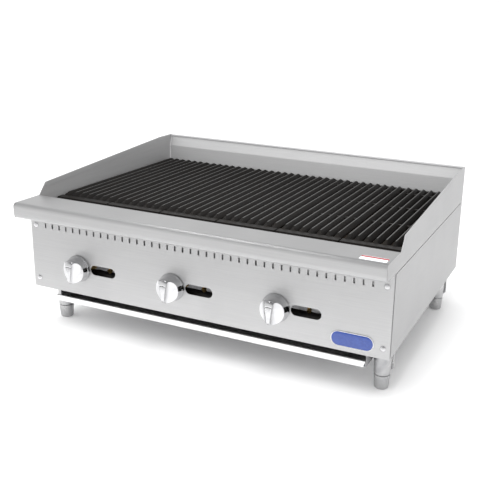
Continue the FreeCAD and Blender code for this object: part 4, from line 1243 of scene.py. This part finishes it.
# %% Dome screws
screw_low, screw_high = corners("panel_screws")
SCREW_FACE = panel_low.y
DOME_RADIUS, DOME_EDGE = 8.0, math.radians(58.2)
dome = [(0, 6.75), (-0.5, 6.8)]
for tilt in (50, 41, 32, 23, 14, 6):
    bend_at = math.radians(tilt)
    rise = DOME_RADIUS * (math.cos(bend_at) - math.cos(DOME_EDGE))
    dome.append((-0.5 - rise, DOME_RADIUS * math.sin(bend_at)))
shank_rings = [(-0.2, 2.4), (11.2, 2.4), (12.0, 1.7)]
screws = []
for screw_x in (screw_low.x + 6.8, screw_high.x - 6.8):
    for screw_z in (screw_low.z + 6.8, screw_high.z - 6.8):
        screw_place = (screw_x, SCREW_FACE, screw_z)
        head = turned("screw_head", screw_place, "Y", dome, sides=32)
        shank = turned("screw_shank", screw_place, "Y", shank_rings, sides=20)
        screws += [head, shank]
hand_over(join("panel_dome_screws", screws), "chassis", chrome, ["panel_screws"], angle=60.0)

# %% [markdown]
# ## Legs and feet
# A leg is a tapered socket under a square pad, with a bracket plate beside it, and the
# foot screws up into it. Both are turned: the socket's rings start at the top of its
# bore, go down the inside and come up the outside, so the bore is really there when the
# foot is let down.

# %% One leg and one foot
foot_mid = middle("foot_front_right")
LEG = Vector((foot_mid.x, foot_mid.y, 0))
socket = turned(
    "leg_socket", LEG, "Z",
    [(82.0, 6.1), (33.3, 6.1), (33.3, 16.3), (33.9, 16.9), (36.0, 16.9), (36.0, 18.1), (36.5, 18.5),
     (60.0, 19.1), (80.0, 19.55), (99.0, 20.0), (99.0, 6.5)],
    sides=56,
)
pad = block("leg_pad", (LEG.x - 20.5, LEG.y - 24.0, 99.0), (LEG.x + 23.0, LEG.y + 24.0, 102.0))
round_edges(pad, 0.6, segments=2)
bracket = block("leg_bracket", (LEG.x - 20.5, LEG.y + 8.0, 38.0), (LEG.x + 23.0, LEG.y + 11.0, 99.0))
edit(bracket)
for corner_x, way in ((LEG.x - 20.5, -1.0), (LEG.x + 23.0, 1.0)):
    bpy.ops.mesh.select_all(action="SELECT")
    bpy.ops.mesh.bisect(
        plane_co=mm(corner_x - way * 9.0, 0, 38.0), plane_no=Vector((way, 0, -1)).normalized(),
        use_fill=True, clear_outer=True,
    )
leave()
round_edges(bracket, 0.5, segments=2)
leg = join("leg", [socket, pad, bracket])
rounded_sole = [(0.0, 11.4)]
for tilt in (20, 40, 60, 80):
    bend_at = math.radians(tilt)
    rounded_sole.append((4.4 - 4.4 * math.cos(bend_at), 11.6 + 4.4 * math.sin(bend_at)))
thread = []
for turn in range(20):
    thread += [(35.0 + turn * 2.0, 6.0), (36.0 + turn * 2.0, 5.5)]
foot_body = [(20.0, 17.1), (32.3, 17.95), (33.0, 17.3), (33.0, 6.0)]
foot_tip = [(76.0, 6.0), (78.0, 5.0)]
foot = turned("foot", LEG, "Z", rounded_sole + foot_body + thread + foot_tip, sides=40)
print("leg faces", len(leg.data.polygons), "foot faces", len(foot.data.polygons))

# %% [markdown]
# The right front leg is the pattern. The left legs are its mirror image, so that every
# bracket faces inward, and the feet are plain copies.

# %% Four legs and feet
for place in ("front_right", "front_left", "rear_right", "rear_left"):
    step = middle(f"foot_{place}") - foot_mid
    own_leg = copy_piece(leg, f"leg_casting_{place}", Vector((0, 0, 0)))
    if place.endswith("left"):
        own_leg.data.transform(Matrix.Scale(-1.0, 4, AXES["X"]))
        own_leg.data.flip_normals()
        own_leg.data.transform(Matrix.Translation(mm(0, step.y, 0)))
    else:
        own_leg.data.transform(Matrix.Translation(step * MM))
    own_foot = copy_piece(foot, f"foot_turned_{place}", step)
    hand_over(own_leg, "chassis", leg_steel, [f"leg_{place}"], angle=35.0)
    hand_over(own_foot, f"foot_{place}", leg_steel, [f"foot_{place}"], angle=50.0)
bpy.data.objects.remove(leg)
bpy.data.objects.remove(foot)
